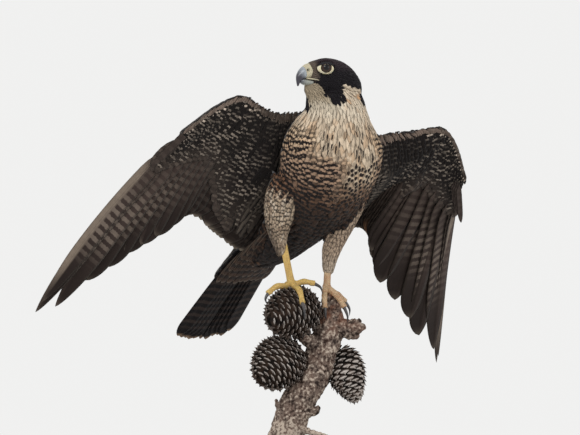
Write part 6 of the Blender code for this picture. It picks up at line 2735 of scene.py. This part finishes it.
@dataclass
class Bill:
    """The cere with its nostrils, the hooked upper bill, the lower bill and the yellow gape."""

    head: Head
    # each section: forward, up, half width, half height, downward pitch in degrees
    upper: tuple = (
        (30.2, 6.6, 9.6, 11.0, 0),
        (32.3, 6.6, 9.5, 10.6, 0),
        (35.0, 6.4, 9.0, 9.8, 2),
        (37.4, 5.8, 8.2, 8.6, 6),
        (40.6, 3.9, 6.5, 6.5, 27),
        (43.4, 0.0, 4.5, 4.9, 56),
        (45.2, -4.6, 2.5, 2.8, 80),
        (46.2, -9.8, 0.75, 0.9, 96),
    )
    lower: tuple = (
        (30.0, -5.6, 9.3, 3.9, 0),
        (32.3, -5.4, 9.1, 3.9, 0),
        (36.5, -4.8, 7.8, 3.9, -3),
        (40.0, -4.0, 5.4, 3.4, -8),
        (42.8, -3.2, 2.6, 2.2, -10),
    )
    cere_end: float = 3.0
    nostril: tuple = (35.3, 8.3)
    # depth into the nostril and radius of each ring of its plug
    plug: tuple = ((2.9, 0.2), (2.9, 1.9), (2.1, 1.9), (2.0, 0.75), (1.4, 0.6), (1.2, 0.2))
    # the mouth's edge: forward, out and up
    mouth: tuple = (
        (37.5, 7.7, -1.7), (34.0, 9.1, -2.0), (30.5, 11.1, -2.7), (27.2, 13.5, -3.7),
        (25.2, 14.9, -4.5),
    )
    sides: int = 72

    def rings(self, rows: tuple, low: float, high: float, count: int, upper: bool) -> Array:
        """Sections square to a bent line.

        Across is a cosine narrowed towards the ridge, and the height is a sine, flattened below on
        the upper bill, where the cutting edge bulges down into a tooth behind the hook.

        Args:
            rows: the sections of the upper or the lower bill.
            low: the first station.
            high: the last station.
            count: rings between them.
            upper: whether this is the upper bill.

        Returns:
            Rings of places in the head's own millimetres.
        """
        at = np.linspace(low, high, count)
        f, u, width, height, pitch = smooth_rows(rows, at).T
        c, s = (part[None] for part in circle(self.sides))
        lean = np.radians(pitch)[:, None]
        across = width[:, None] * c * (1 - 0.16 * np.maximum(s, 0) ** 2)
        if upper:
            under = np.where(s < 0, -(np.abs(s) ** 0.75) * 0.86, s)
            tooth = 1.1 * bell(at[:, None] - 5.15, 0.22) * ease(0.2, 0.9, -s)
            tooth = tooth * ease(0.15, 0.5, np.abs(c))
            rise = height[:, None] * under - tooth
        else:
            rise = height[:, None] * np.where(s > 0, s * 0.75, s)
        forward = f[:, None] + rise * np.sin(lean)
        upward = u[:, None] + rise * np.cos(lean)
        return np.stack([forward, across, upward], axis=-1)

    def carve(self, rows: Array) -> Array:
        """Sinks the nostrils into the cere: a pit with a raised rim.

        Args:
            rows: places in the head's own millimetres.

        Returns:
            The places moved.
        """
        f, l, u = rows[..., 0], rows[..., 1], rows[..., 2]
        gap = np.hypot(f - self.nostril[0], u - self.nostril[1])
        push = -2.2 * ease(2.1, 1.35, gap) + 0.40 * bell(gap - 2.6, 0.5)
        seam = -0.45 * bell(f - 38.3 - 0.10 * u, 0.35)
        moved = rows.copy()
        moved[..., 1] = l + np.sign(l) * (push + seam) * ease(1.5, 4.0, np.abs(l))
        return moved

    def nostril_plug(self, side: int) -> Surface:
        """The inside of a nostril, with the small peg in its middle, as turned rings. It is given
        the bill tip's near black, as painted shade in the hole.

        Args:
            side: 1 for the left one, -1 for the right.

        Returns:
            A closed surface.
        """
        forward, upward = self.nostril
        c, s = circle(16)
        width = np.interp(upward - 6.0, (0, 9), (8.0, 5.0))
        rings = []
        for depth, radius in self.plug:
            out = np.full(len(c), side * (width - depth + 1.2))
            rings.append(np.stack([forward + radius * c, out, upward + radius * s], axis=-1))
        return loft(self.head.world(np.array(rings)))

    def gape(self, side: int) -> Surface:
        """The soft yellow edge of the mouth: a flattened tube that tapers back under the eye.

        Args:
            side: 1 for the left edge, -1 for the right.

        Returns:
            A closed surface.
        """
        rows = smooth_rows(self.mouth, np.linspace(0, len(self.mouth) - 1, 26))
        places = self.head.world(rows * np.array([1, side, 1]))
        radii = np.linspace(mm(1.2), mm(0.6), 26) * np.sin(np.linspace(0.35, math.pi - 0.25, 26)) ** 0.6
        return loft(tube_rings(places, radii, 18, (0, 0, 1), 0.75))

    def pieces(self) -> None:
        """Makes the bill's pieces, each in place of its solid."""
        world = self.head.world
        cere_rings = world(self.carve(self.rings(self.upper, 0, self.cere_end + 0.12, 44, True)))
        skin = BareSkinFinish(
            "cere", tone=(0.55, 0.48, 0.33), shade=(0.43, 0.385, 0.27), groove=(0.25, 0.22, 0.15),
            cell=mm(1.1), relief=mm(0.08), roughness=0.45,
        ).make()
        parts = [loft(cere_rings)] + [self.gape(side) for side in (1, -1)]
        make_piece("cere_skin", Surface.join(parts), skin, "cere_yellow", None, ("cere",))
        horn = HornFinish(
            "bill_horn", base=(0.27, 0.30, 0.33), tip=(0.022, 0.018, 0.030), turn=(0.06, 0.55)
        ).make()
        hook = world(self.rings(self.upper, self.cere_end, len(self.upper) - 1, 60, True))
        shrunk = hook.copy()
        middle = hook[:6].mean(axis=1, keepdims=True)
        shaded_plugs = [self.nostril_plug(side) for side in (1, -1)]
        shrunk[:6] = middle + (hook[:6] - middle) * np.linspace(0.93, 1.0, 6)[:, None, None]
        # painted shade: the plugs read the end of the horn map, so they take the tip's near black
        dark = [Looks(maps={"Horn": np.ones((len(plug.points), 2))}) for plug in shaded_plugs]
        looks = Looks.join([Looks(maps=horn_map(shrunk)), *dark])
        surface = Surface.join([loft(shrunk), *shaded_plugs])
        make_piece("bill_hook", surface, horn, "bill_slate", looks, ("bill_upper",))
        chin = world(self.rings(self.lower, 0, len(self.lower) - 1, 40, False))
        pale = HornFinish(
            "bill_horn_pale", base=(0.27, 0.28, 0.25), tip=(0.07, 0.075, 0.09), turn=(0.40, 1.0)
        ).make()
        looks = Looks(maps=horn_map(chin))
        make_piece("bill_under", loft(chin), pale, "bill_slate", looks, ("bill_lower",))


# each toe's joints on the front drawing, then the claw's middle and tip
RIGHT_TOES = {
    "inner": ((288, 286, -12), (277, 286.5, -22), (267.5, 293.5, -28), (265.5, 299, -31), (267.5, 305, -30)),
    "middle": ((294, 285.5, -18), (299.5, 291, -34), (302.5, 303, -46), (304.5, 312, -48), (304, 320, -44)),
    "outer": ((296, 284, -11), (304, 281.8, -10), (315, 283.6, -10), (320.5, 287.5, -12), (322.5, 294, -12)),
    "hind": ((291, 284, -3), (287, 285, 10), (284, 293, 21), (284, 300, 24), (286.5, 306, 22)),
}
LEFT_TOES = {
    "inner": ((325, 291, 12), (324.5, 297, -1), (325, 308, -5), (325.5, 315, -5), (326.5, 321, -1)),
    "middle": ((331, 291, 9), (338.5, 298, 3), (344.5, 307.5, -1), (347.5, 316, -3), (347, 323, -1)),
    "outer": ((332, 291.5, 20), (338, 295, 24), (345.5, 302, 27), (349.5, 309, 27), (349.5, 316, 25)),
    "hind": ((326, 289, 25), (325, 291.5, 35), (325, 299, 41), (326, 306, 42), (328, 312, 38)),
}


@dataclass
class Feet:
    """The bare shanks and toes with their scutes and pads, and the claws."""

    shank_tops: dict = field(default_factory=lambda: {
        "right": (-31.8, -6.2, 297),
        "left": (21.2, 19.5, 271),
    })
    feet: dict = field(default_factory=lambda: {
        "right": (-22.4, -10, 250),
        "left": (19.8, 18, 244.5),
    })
    toes: dict = field(default_factory=lambda: {"right": RIGHT_TOES, "left": LEFT_TOES})
    # the skin's tone and shade on each foot; the left foot's pair is darker and pinker as painted shade
    tones: dict = field(default_factory=lambda: {
        "right": ((0.66, 0.45, 0.14), (0.55, 0.36, 0.11)),
        "left": ((0.56, 0.40, 0.25), (0.44, 0.26, 0.15)),
    })
    # stations of the pads along a toe's line
    pad_places: tuple = (0.6, 1.25, 2.0, 2.7)
    shank_radius: float = mm(4.2)
    foot_radius: float = mm(5.4)
    toe_radius: float = mm(3.55)
    claw_radius: float = mm(2.15)
    scute: float = mm(2.1)
    voxel: float = mm(0.55)

    @staticmethod
    def ball(centre: Array, polar: Array, height: float, width: float, sides: int) -> Surface:
        """A ball as rings up its axis, from sines and cosines of the angle from its top."""
        up = np.stack([0 * polar, 0 * polar, np.cos(polar) * height], axis=-1)
        return loft(tube_rings(centre + up, np.sin(polar) * width, sides))

    def joints(self, side: str, rows: tuple) -> Array:
        """A toe's line: the foot's middle, then the toe's own joints."""
        return np.vstack([np.array(self.feet[side]) * MM, DRAWING.place(rows[:3])])

    def toe(self, places: Array) -> Surface:
        """A toe: a tube through its joints, swollen at each, with stepped scutes over its top.

        Args:
            places: the toe's joints.

        Returns:
            A closed surface.
        """
        at = np.linspace(0, len(places) - 1, 90)
        rows = smooth_rows(places, at)
        run = np.concatenate([[0], np.cumsum(np.linalg.norm(np.diff(rows, axis=0), axis=1))])
        knots = 1 + 0.07 * np.cos(at * math.tau) * ease(0.4, 1.0, at)
        radii = self.toe_radius * np.interp(at, (0, 3), (1.1, 0.84)) * knots
        rings = tube_rings(rows, radii, 28)
        saw = 1 - (run / self.scute) % 1.0
        out = unit(rings - rows[:, None])
        top = ease(-0.1, 0.5, out[..., 2])
        return loft(rings + out * (top * saw[:, None] * mm(0.6))[..., None])

    def pads(self, places: Array) -> list[Surface]:
        """Soft pads under a toe's joints, as flattened balls.

        Args:
            places: the toe's joints.

        Returns:
            A closed surface for each pad.
        """
        polar = np.linspace(0.15, math.pi - 0.15, 9)
        middles = smooth_rows(places, self.pad_places) - np.array([0, 0, mm(1.5)])
        return [self.ball(middle, polar, mm(2.2), mm(3.1), 14) for middle in middles]

    def shank(self, side: str) -> Surface:
        """The shank: a tube from the thigh to the foot, scaled in front and wider at its ends.

        Args:
            side: which leg.

        Returns:
            A closed surface.
        """
        top, foot = np.array(self.shank_tops[side]) * MM, np.array(self.feet[side]) * MM
        at = np.linspace(-0.12, 1.06, 80)
        rows = top + (foot - top) * at[:, None]
        radii = self.shank_radius * (1 + 0.10 * ease(0.75, 1.0, at) + 0.05 * ease(0.3, 0.0, at))
        rings = tube_rings(rows, radii, 28)
        out = unit(rings - rows[:, None])
        saw = 1 - (at * 22) % 1.0
        front = ease(0.0, 0.6, -out[..., 1])
        return loft(rings + out * (front * saw[:, None] * mm(0.55))[..., None])

    def foot(self, side: str) -> Surface:
        """The shank, the pads and the toes as one skin.

        Args:
            side: which foot.

        Returns:
            The skin.
        """
        polar, radius = np.linspace(0.1, math.pi - 0.1, 14), self.foot_radius
        middle = np.array(self.feet[side]) * MM
        parts = [self.shank(side), self.ball(middle, polar, radius, radius, 20)]
        for rows in self.toes[side].values():
            places = self.joints(side, rows)
            parts += [self.toe(places), *self.pads(places)]
        return fuse(parts, self.voxel, 2)

    def claw(self, rows: tuple) -> Array:
        """A claw: rings along a curve from inside its toe to its point, deeper than wide.

        Args:
            rows: the toe's rows on the drawing.

        Returns:
            Rings from its root to its point.
        """
        places = DRAWING.place(rows)
        start = places[2] - unit(places[2] - places[1]) * mm(1.5)
        tip = places[4] + (places[4] - places[3]) * 0.06
        at = np.linspace(0, 2, 24)
        line = smooth_rows([start, places[3], tip], at)
        radii = self.claw_radius * (1 - 0.96 * (at / 2) ** 1.35)
        return tube_rings(line, radii, 16, squash=1.12)

    def pieces(self) -> None:
        """Makes the feet and the eight claws."""
        horn = HornFinish(
            "claw_horn", base=(0.050, 0.042, 0.040), tip=(0.012, 0.011, 0.012), turn=(0.05, 0.6)
        ).make()
        for side in SIDES:
            name, node = f"foot_skin_{side}", f"foot_{side}"
            skin = BareSkinFinish(
                name, *self.tones[side], groove=(0.24, 0.14, 0.05), cell=mm(1.5), relief=mm(0.25),
                roughness=0.55,
            ).make()
            make_piece(name, self.foot(side), skin, "foot_yellow", None, (node,))
            for toe, rows in self.toes[side].items():
                rings, node = self.claw(rows), f"claw_{side}_{toe}"
                looks = Looks(maps=horn_map(rings))
                make_piece(f"{node}_horn", loft(rings), horn, "claw_black", looks, (node,))


@dataclass
class Cone:
    """A pine cone: a core and scales in two sets of spirals, each with a raised shield and a spine."""

    word: str
    centre: tuple
    half_sizes: tuple
    aim: tuple
    scales: int = 180
    taper: float = 0.12
    lean: float = 0.5
    age: float = 0.0
    golden: float = math.pi * (3 - math.sqrt(5))
    # metres of the line that scales point away from, for a millimetre of half length
    heart: float = 0.0006
    # keeps a scale's tip direction from vanishing at the cone's ends
    nudge: float = 0.001
    # each section of a scale, in scale sizes: place outward, half width, half height, drop
    profile: tuple = (
        (-0.90, 0.25, 0.10, 0.0), (-0.40, 0.46, 0.13, 0.0), (-0.12, 0.62, 0.17, 0.0),
        (0.02, 0.66, 0.20, 0.02), (0.12, 0.52, 0.16, 0.03), (0.22, 0.30, 0.10, 0.03),
        (0.36, 0.12, 0.06, 0.0), (0.56, 0.015, 0.015, -0.06),
    )
    # how pale a scale is from the core to the spine, and what its upper side adds round each section:
    # partly weathering, partly painted shade at the roots and undersides and painted highlight on the ridges
    wear_and_light_along: tuple = (0.0, 0.0, 0.22, 0.80, 0.70, 0.50, 0.55, 0.85)
    wear_and_light_round: tuple = (0.05, 0.12, 0.10, 0.12, 0.05, -0.22, -0.30, -0.22)
    seed: int = 5

    def __post_init__(self) -> None:
        """The cone's directions and its draws."""
        self.draws = np.random.default_rng(self.seed)
        self.axis = unit(np.array(self.aim))
        self.side = unit(np.cross(self.axis, (0.2, 1, 0.1)))
        self.other = np.cross(self.axis, self.side)

    def egg(self, polar: Array, angle: Array, grow: float) -> Array:
        """Places on an egg: width by the sine and length by the cosine of the polar angle.

        Args:
            polar: the angle from the cone's stalk.
            angle: the angle round its length.
            grow: the egg's size for the cone's.

        Returns:
            The places.
        """
        width, reach = np.array(self.half_sizes) * MM * grow
        radius = width * np.sin(polar) * (1 + self.taper * np.cos(polar))
        around = np.cos(angle)[..., None] * self.side + np.sin(angle)[..., None] * self.other
        middle = np.array(self.centre) * MM
        return middle - self.axis * (np.cos(polar) * reach)[..., None] + around * radius[..., None]

    def core(self) -> Surface:
        """The core between the scales, which takes the near black of painted shade in the gaps.

        Returns:
            A closed surface.
        """
        polar, angle = np.meshgrid(
            np.linspace(0.08, math.pi - 0.08, 28), np.arange(40) * math.tau / 40, indexing="ij"
        )
        return loft(self.egg(polar, angle, 0.9))

    def scale_grid(self) -> Surface:
        """Every scale: a plate that leans towards the tip, swells at its end and closes to a point.

        Its rings run out from the core with the widths and heights of the profile.

        Returns:
            The scales as one surface.
        """
        number = np.arange(self.scales) + 0.5
        polar = 0.14 + (math.pi - 0.26) * np.arccos(1 - 2 * number / self.scales) / math.pi
        polar = math.pi - polar
        angle = number * self.golden
        surface = self.egg(polar, angle, 1.0)
        inner = (-np.cos(polar) * self.half_sizes[1] * self.heart)[:, None]
        outward = unit(surface - (np.array(self.centre) * MM + self.axis * inner))
        tipward = flat(np.broadcast_to(self.axis, outward.shape) + outward * self.nudge, outward)
        across = np.cross(outward, tipward)
        reach = unit(outward + tipward * (self.lean * np.sin(polar)[:, None]))
        top = np.cross(reach, across)
        gap = math.sqrt(4 * math.pi / self.scales) * np.mean(self.half_sizes) * MM
        size = gap * (0.62 + 0.38 * np.sin(polar) ** 0.7)
        size = size * self.draws.uniform(0.94, 1.06, self.scales)
        x, y = circle(8)
        y = y * (1 - 0.5 * np.abs(x))
        rings = []
        for out, wide, tall, rise in self.profile:
            base = surface + reach * (out * size)[:, None] - top * (rise * size)[:, None]
            ring = base[:, None] + across[:, None] * (wide * size[:, None] * x)[..., None]
            rings.append(ring + top[:, None] * (tall * size[:, None] * y)[..., None])
        return Surface.join([loft(np.array([ring[k] for ring in rings])) for k in range(self.scales)])

    def piece(self, finish: bpy.types.Material) -> None:
        """Makes the cone, palest on the shields' edges, partly from weathering and partly as painted
        highlight, with its core near black as painted shade.

        Args:
            finish: the scales' material.
        """
        core, scales = self.core(), self.scale_grid()
        one = np.add.outer(np.array(self.wear_and_light_along) + self.age, np.array(self.wear_and_light_round) * 0.9)
        one = np.maximum(np.append(one, [0.0, 0.8]), 0.01)
        # painted shade: the core's zero gives it the finish's near black between the scales
        wear = np.concatenate([np.zeros(len(core.points)), np.tile(one, self.scales)])
        surface = Surface.join([core, scales])
        stir = ripple(surface.points, 0.02, 5) * 0.12
        vectors = {"wear": np.stack([wear + stir * (wear > 0), 0 * wear + 0.35, 0 * wear], axis=-1)}
        name, looks, node = f"pine_cone_{self.word}", Looks(vectors=vectors), f"perch_cone_{self.word}"
        make_piece(name, surface, finish, "cone_scale", looks, (node,))


@dataclass
class Branch:
    """The weathered branch: a bent stem with broken stubs, under flaking bark."""

    # centre and radius of each section
    stem: tuple = (
        (-34, 6, 56, 19.5),
        (-27, 6, 72, 20.3),
        (-17, 6, 104, 19.5),
        (3, 8, 138, 19.2),
        (15.5, 12, 172, 18.2),
        (23, 15, 199, 16.4),
        (25, 17, 222, 12.1),
        (23, 18, 237, 8.6),
    )
    stubs: tuple = (
        (
            (28, 14, 196, 13), (42, 10.5, 195.5, 11), (52, 8, 195.5, 9), (59, 6, 196.5, 6),
            (65, 5, 198, 2.4),
        ),
        ((44, 9, 188, 5.5), (53, 7, 186, 3.4), (58, 6, 187, 1.4)),
        ((50, 8, 203, 4), (58, 5, 204.5, 2.6), (61, 4, 203, 1.2)),
        ((12, 8, 176, 9), (0, 0, 181, 8), (-12, -6, 188, 6)),
        ((-22, 2, 96, 6), (-36, -4, 103, 3.9), (-41, -6, 112, 1.4)),
        ((-8, 2, 96, 7), (6, -4, 99, 4.9), (11, -6, 104, 2.4)),
        ((-20, 2, 77, 7), (-6, -3, 75, 4.2), (8, -6, 71.5, 2.8), (21, -8, 69.5, 1.0)),
    )
    voxel: float = mm(1.0)

    def tube(self, rows: tuple, sides: int, hint: tuple) -> Surface:
        """One stem or stub as a round tube through its sections.

        Args:
            rows: its sections.
            sides: points in a ring.
            hint: a direction that it never runs along.

        Returns:
            A closed surface.
        """
        rows = np.array(rows) * MM
        rows = smooth_rows(rows, np.linspace(0, len(rows) - 1, 16 * len(rows)))
        return loft(tube_rings(rows[:, :3], rows[:, 3], sides, hint))

    def piece(self, finish: bpy.types.Material) -> None:
        """Makes the branch, its bark raised in plates and ridges along the stem.

        Args:
            finish: the bark's material.
        """
        parts = [self.tube(self.stem, 40, (0, 1, 0.01))]
        parts += [self.tube(rows, 24, (0.1, 0.2, 1)) for rows in self.stubs]
        surface = fuse(parts, self.voxel, 3)
        normals = normals_of(surface)
        stretched = surface.points * np.array([1, 1, 0.36])
        ridges = 1 - np.abs(ripple(stretched, 0.011, 3))
        plates = ripple(surface.points, 0.016, 9)
        grain = ripple(surface.points, 0.0045, 15)
        height = 0.5 * ridges + 0.40 * plates + 0.3 * grain
        surface.points = surface.points + normals * (mm(1.4) * np.clip(height, -1.2, 0.7))[:, None]
        z = surface.points[:, 2]
        wear = 0.50 + 0.18 * height + 0.25 * ease(0.100, 0.070, z)
        warmth = 0.15 + 0.75 * ease(0.185, 0.215, z)
        vectors = {"wear": np.stack([wear, warmth, 0 * wear], axis=-1)}
        make_piece("branch_bark", surface, finish, "bark", Looks(vectors=vectors), ("perch_branch",))


@dataclass
class Perch:
    """The branch with its three cones."""

    cones: tuple = (
        Cone("top", (-21, -11, 214), (30, 34), (-0.75, -0.6, -0.25)),
        Cone("left", (-38, -4, 154), (30, 33), (-0.62, -0.5, -0.6), age=0.08),
        Cone("right", (43, 22, 141), (22, 35), (0.35, -0.15, -0.92), 150, 0.34, 1.7, 0.0),
    )

    def pieces(self) -> None:
        """Makes the perch's pieces."""
        bark = WoodFinish(
            "bark", dark=(0.026, 0.018, 0.015), middle=(0.135, 0.100, 0.082), pale=(0.46, 0.39, 0.32),
            warm=(0.17, 0.070, 0.042), scale=75.0, relief=mm(0.8), contrast=2.1, pits=mm(5.5),
        ).make()
        Branch().piece(bark)
        scale = WoodFinish(
            "cone_scales", dark=(0.010, 0.008, 0.007), middle=(0.074, 0.061, 0.055),
            pale=(0.45, 0.41, 0.375), warm=(0.10, 0.060, 0.040), scale=90.0, relief=mm(0.25),
        ).make()
        for cone in self.cones:
            cone.piece(scale)


@dataclass
class Stand:
    """The black base and rod, whose solids stay and take a better finish."""

    nodes: tuple[str, ...] = ("stand_base", "stand_rod")

    def dress(self) -> None:
        """Gives the solids the stand's finish."""
        finish = StandFinish().make()
        for name in self.nodes:
            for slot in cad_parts[name].material_slots:
                slot.material = finish
            LOG.info("%-22s finished", name)


@dataclass
class Studio:
    """A plain pale floor, soft light and a far camera square to the front drawing."""

    sky: Tone = (0.875, 0.875, 0.868)
    # radius and height of each of the floor's rings
    floor_rings: tuple = ((0.4, 0.0), (2.6, 0.0), (2.6, -0.01), (0.4, -0.01))
    # name, place, width and power of each lamp
    lamps: tuple = (
        ("key", (-1.6, -2.4, 2.6), 2.0, 52.0),
        ("fill", (2.4, -1.6, 1.2), 2.0, 16.0),
    )
    distance: float = 20.0
    frame_width: float = mm(684.4)
    aim: tuple = (mm(-23.6), 0.0, mm(326.6))
    sensor: float = 36.0

    def floor(self) -> None:
        """A round floor under the stand, as one closed slab of rings."""
        c, s = circle(96)
        edge = np.stack([c, s, 0 * c], axis=-1)
        rings = [edge * radius + np.array([0, 0, height]) for radius, height in self.floor_rings]
        mesh = mesh_of("floor", loft(np.array(rings)))
        mesh.materials.append(FloorFinish().make())
        obj = bpy.data.objects.new("floor", mesh)
        bpy.context.scene.collection.objects.link(obj)

    def light(self) -> None:
        """A pale even sky with two wide soft lamps, the larger over the viewer's left shoulder."""
        world = bpy.data.worlds.new("sky")
        world.use_nodes = True
        world.node_tree.nodes["Background"].inputs[0].default_value = (*self.sky, 1)
        bpy.context.scene.world = world
        for name, place, size, power in self.lamps:
            lamp = bpy.data.lights.new(name, "AREA")
            lamp.shape = "DISK"
            lamp.size = size
            lamp.energy = power
            obj = bpy.data.objects.new(name, lamp)
            obj.location = place
            aim = Vector(self.aim) - Vector(place)
            obj.rotation_euler = aim.to_track_quat("-Z", "Y").to_euler()
            bpy.context.scene.collection.objects.link(obj)

    def camera(self) -> None:
        """A camera far off on the viewer's side, its lens set so that the drawing fills the frame."""
        data = bpy.data.cameras.new("camera")
        data.sensor_width = self.sensor
        data.lens = self.sensor * self.distance / self.frame_width
        data.clip_end = 100.0
        obj = bpy.data.objects.new("camera", data)
        obj.location = (self.aim[0], self.aim[1] - self.distance, self.aim[2])
        obj.rotation_euler = (math.pi / 2, 0, 0)
        bpy.context.scene.collection.objects.link(obj)
        bpy.context.scene.camera = obj

    def build(self) -> None:
        """Sets the whole stage."""
        bpy.context.scene.view_settings.view_transform = "Standard"
        self.floor()
        self.light()
        self.camera()


def main() -> None:
    """Builds every piece in order."""
    Studio().build()
    trunk, head = Trunk(), Head()
    wings = (Wing(Side.RIGHT), Wing(Side.LEFT))
    plumage = PlumageFinish().make()
    painter = Painter()
    skin = Skin(trunk, head, wings)
    skin.piece(painter)
    Coat(skin, painter).pieces(plumage)
    for wing in wings:
        Plumes(wing).pieces(plumage)
    Tail().piece(plumage)
    Eyes(head).pieces()
    Bill(head).pieces()
    Feet().pieces()
    Perch().pieces()
    Stand().dress()


if __name__ == "__main__":
    main()
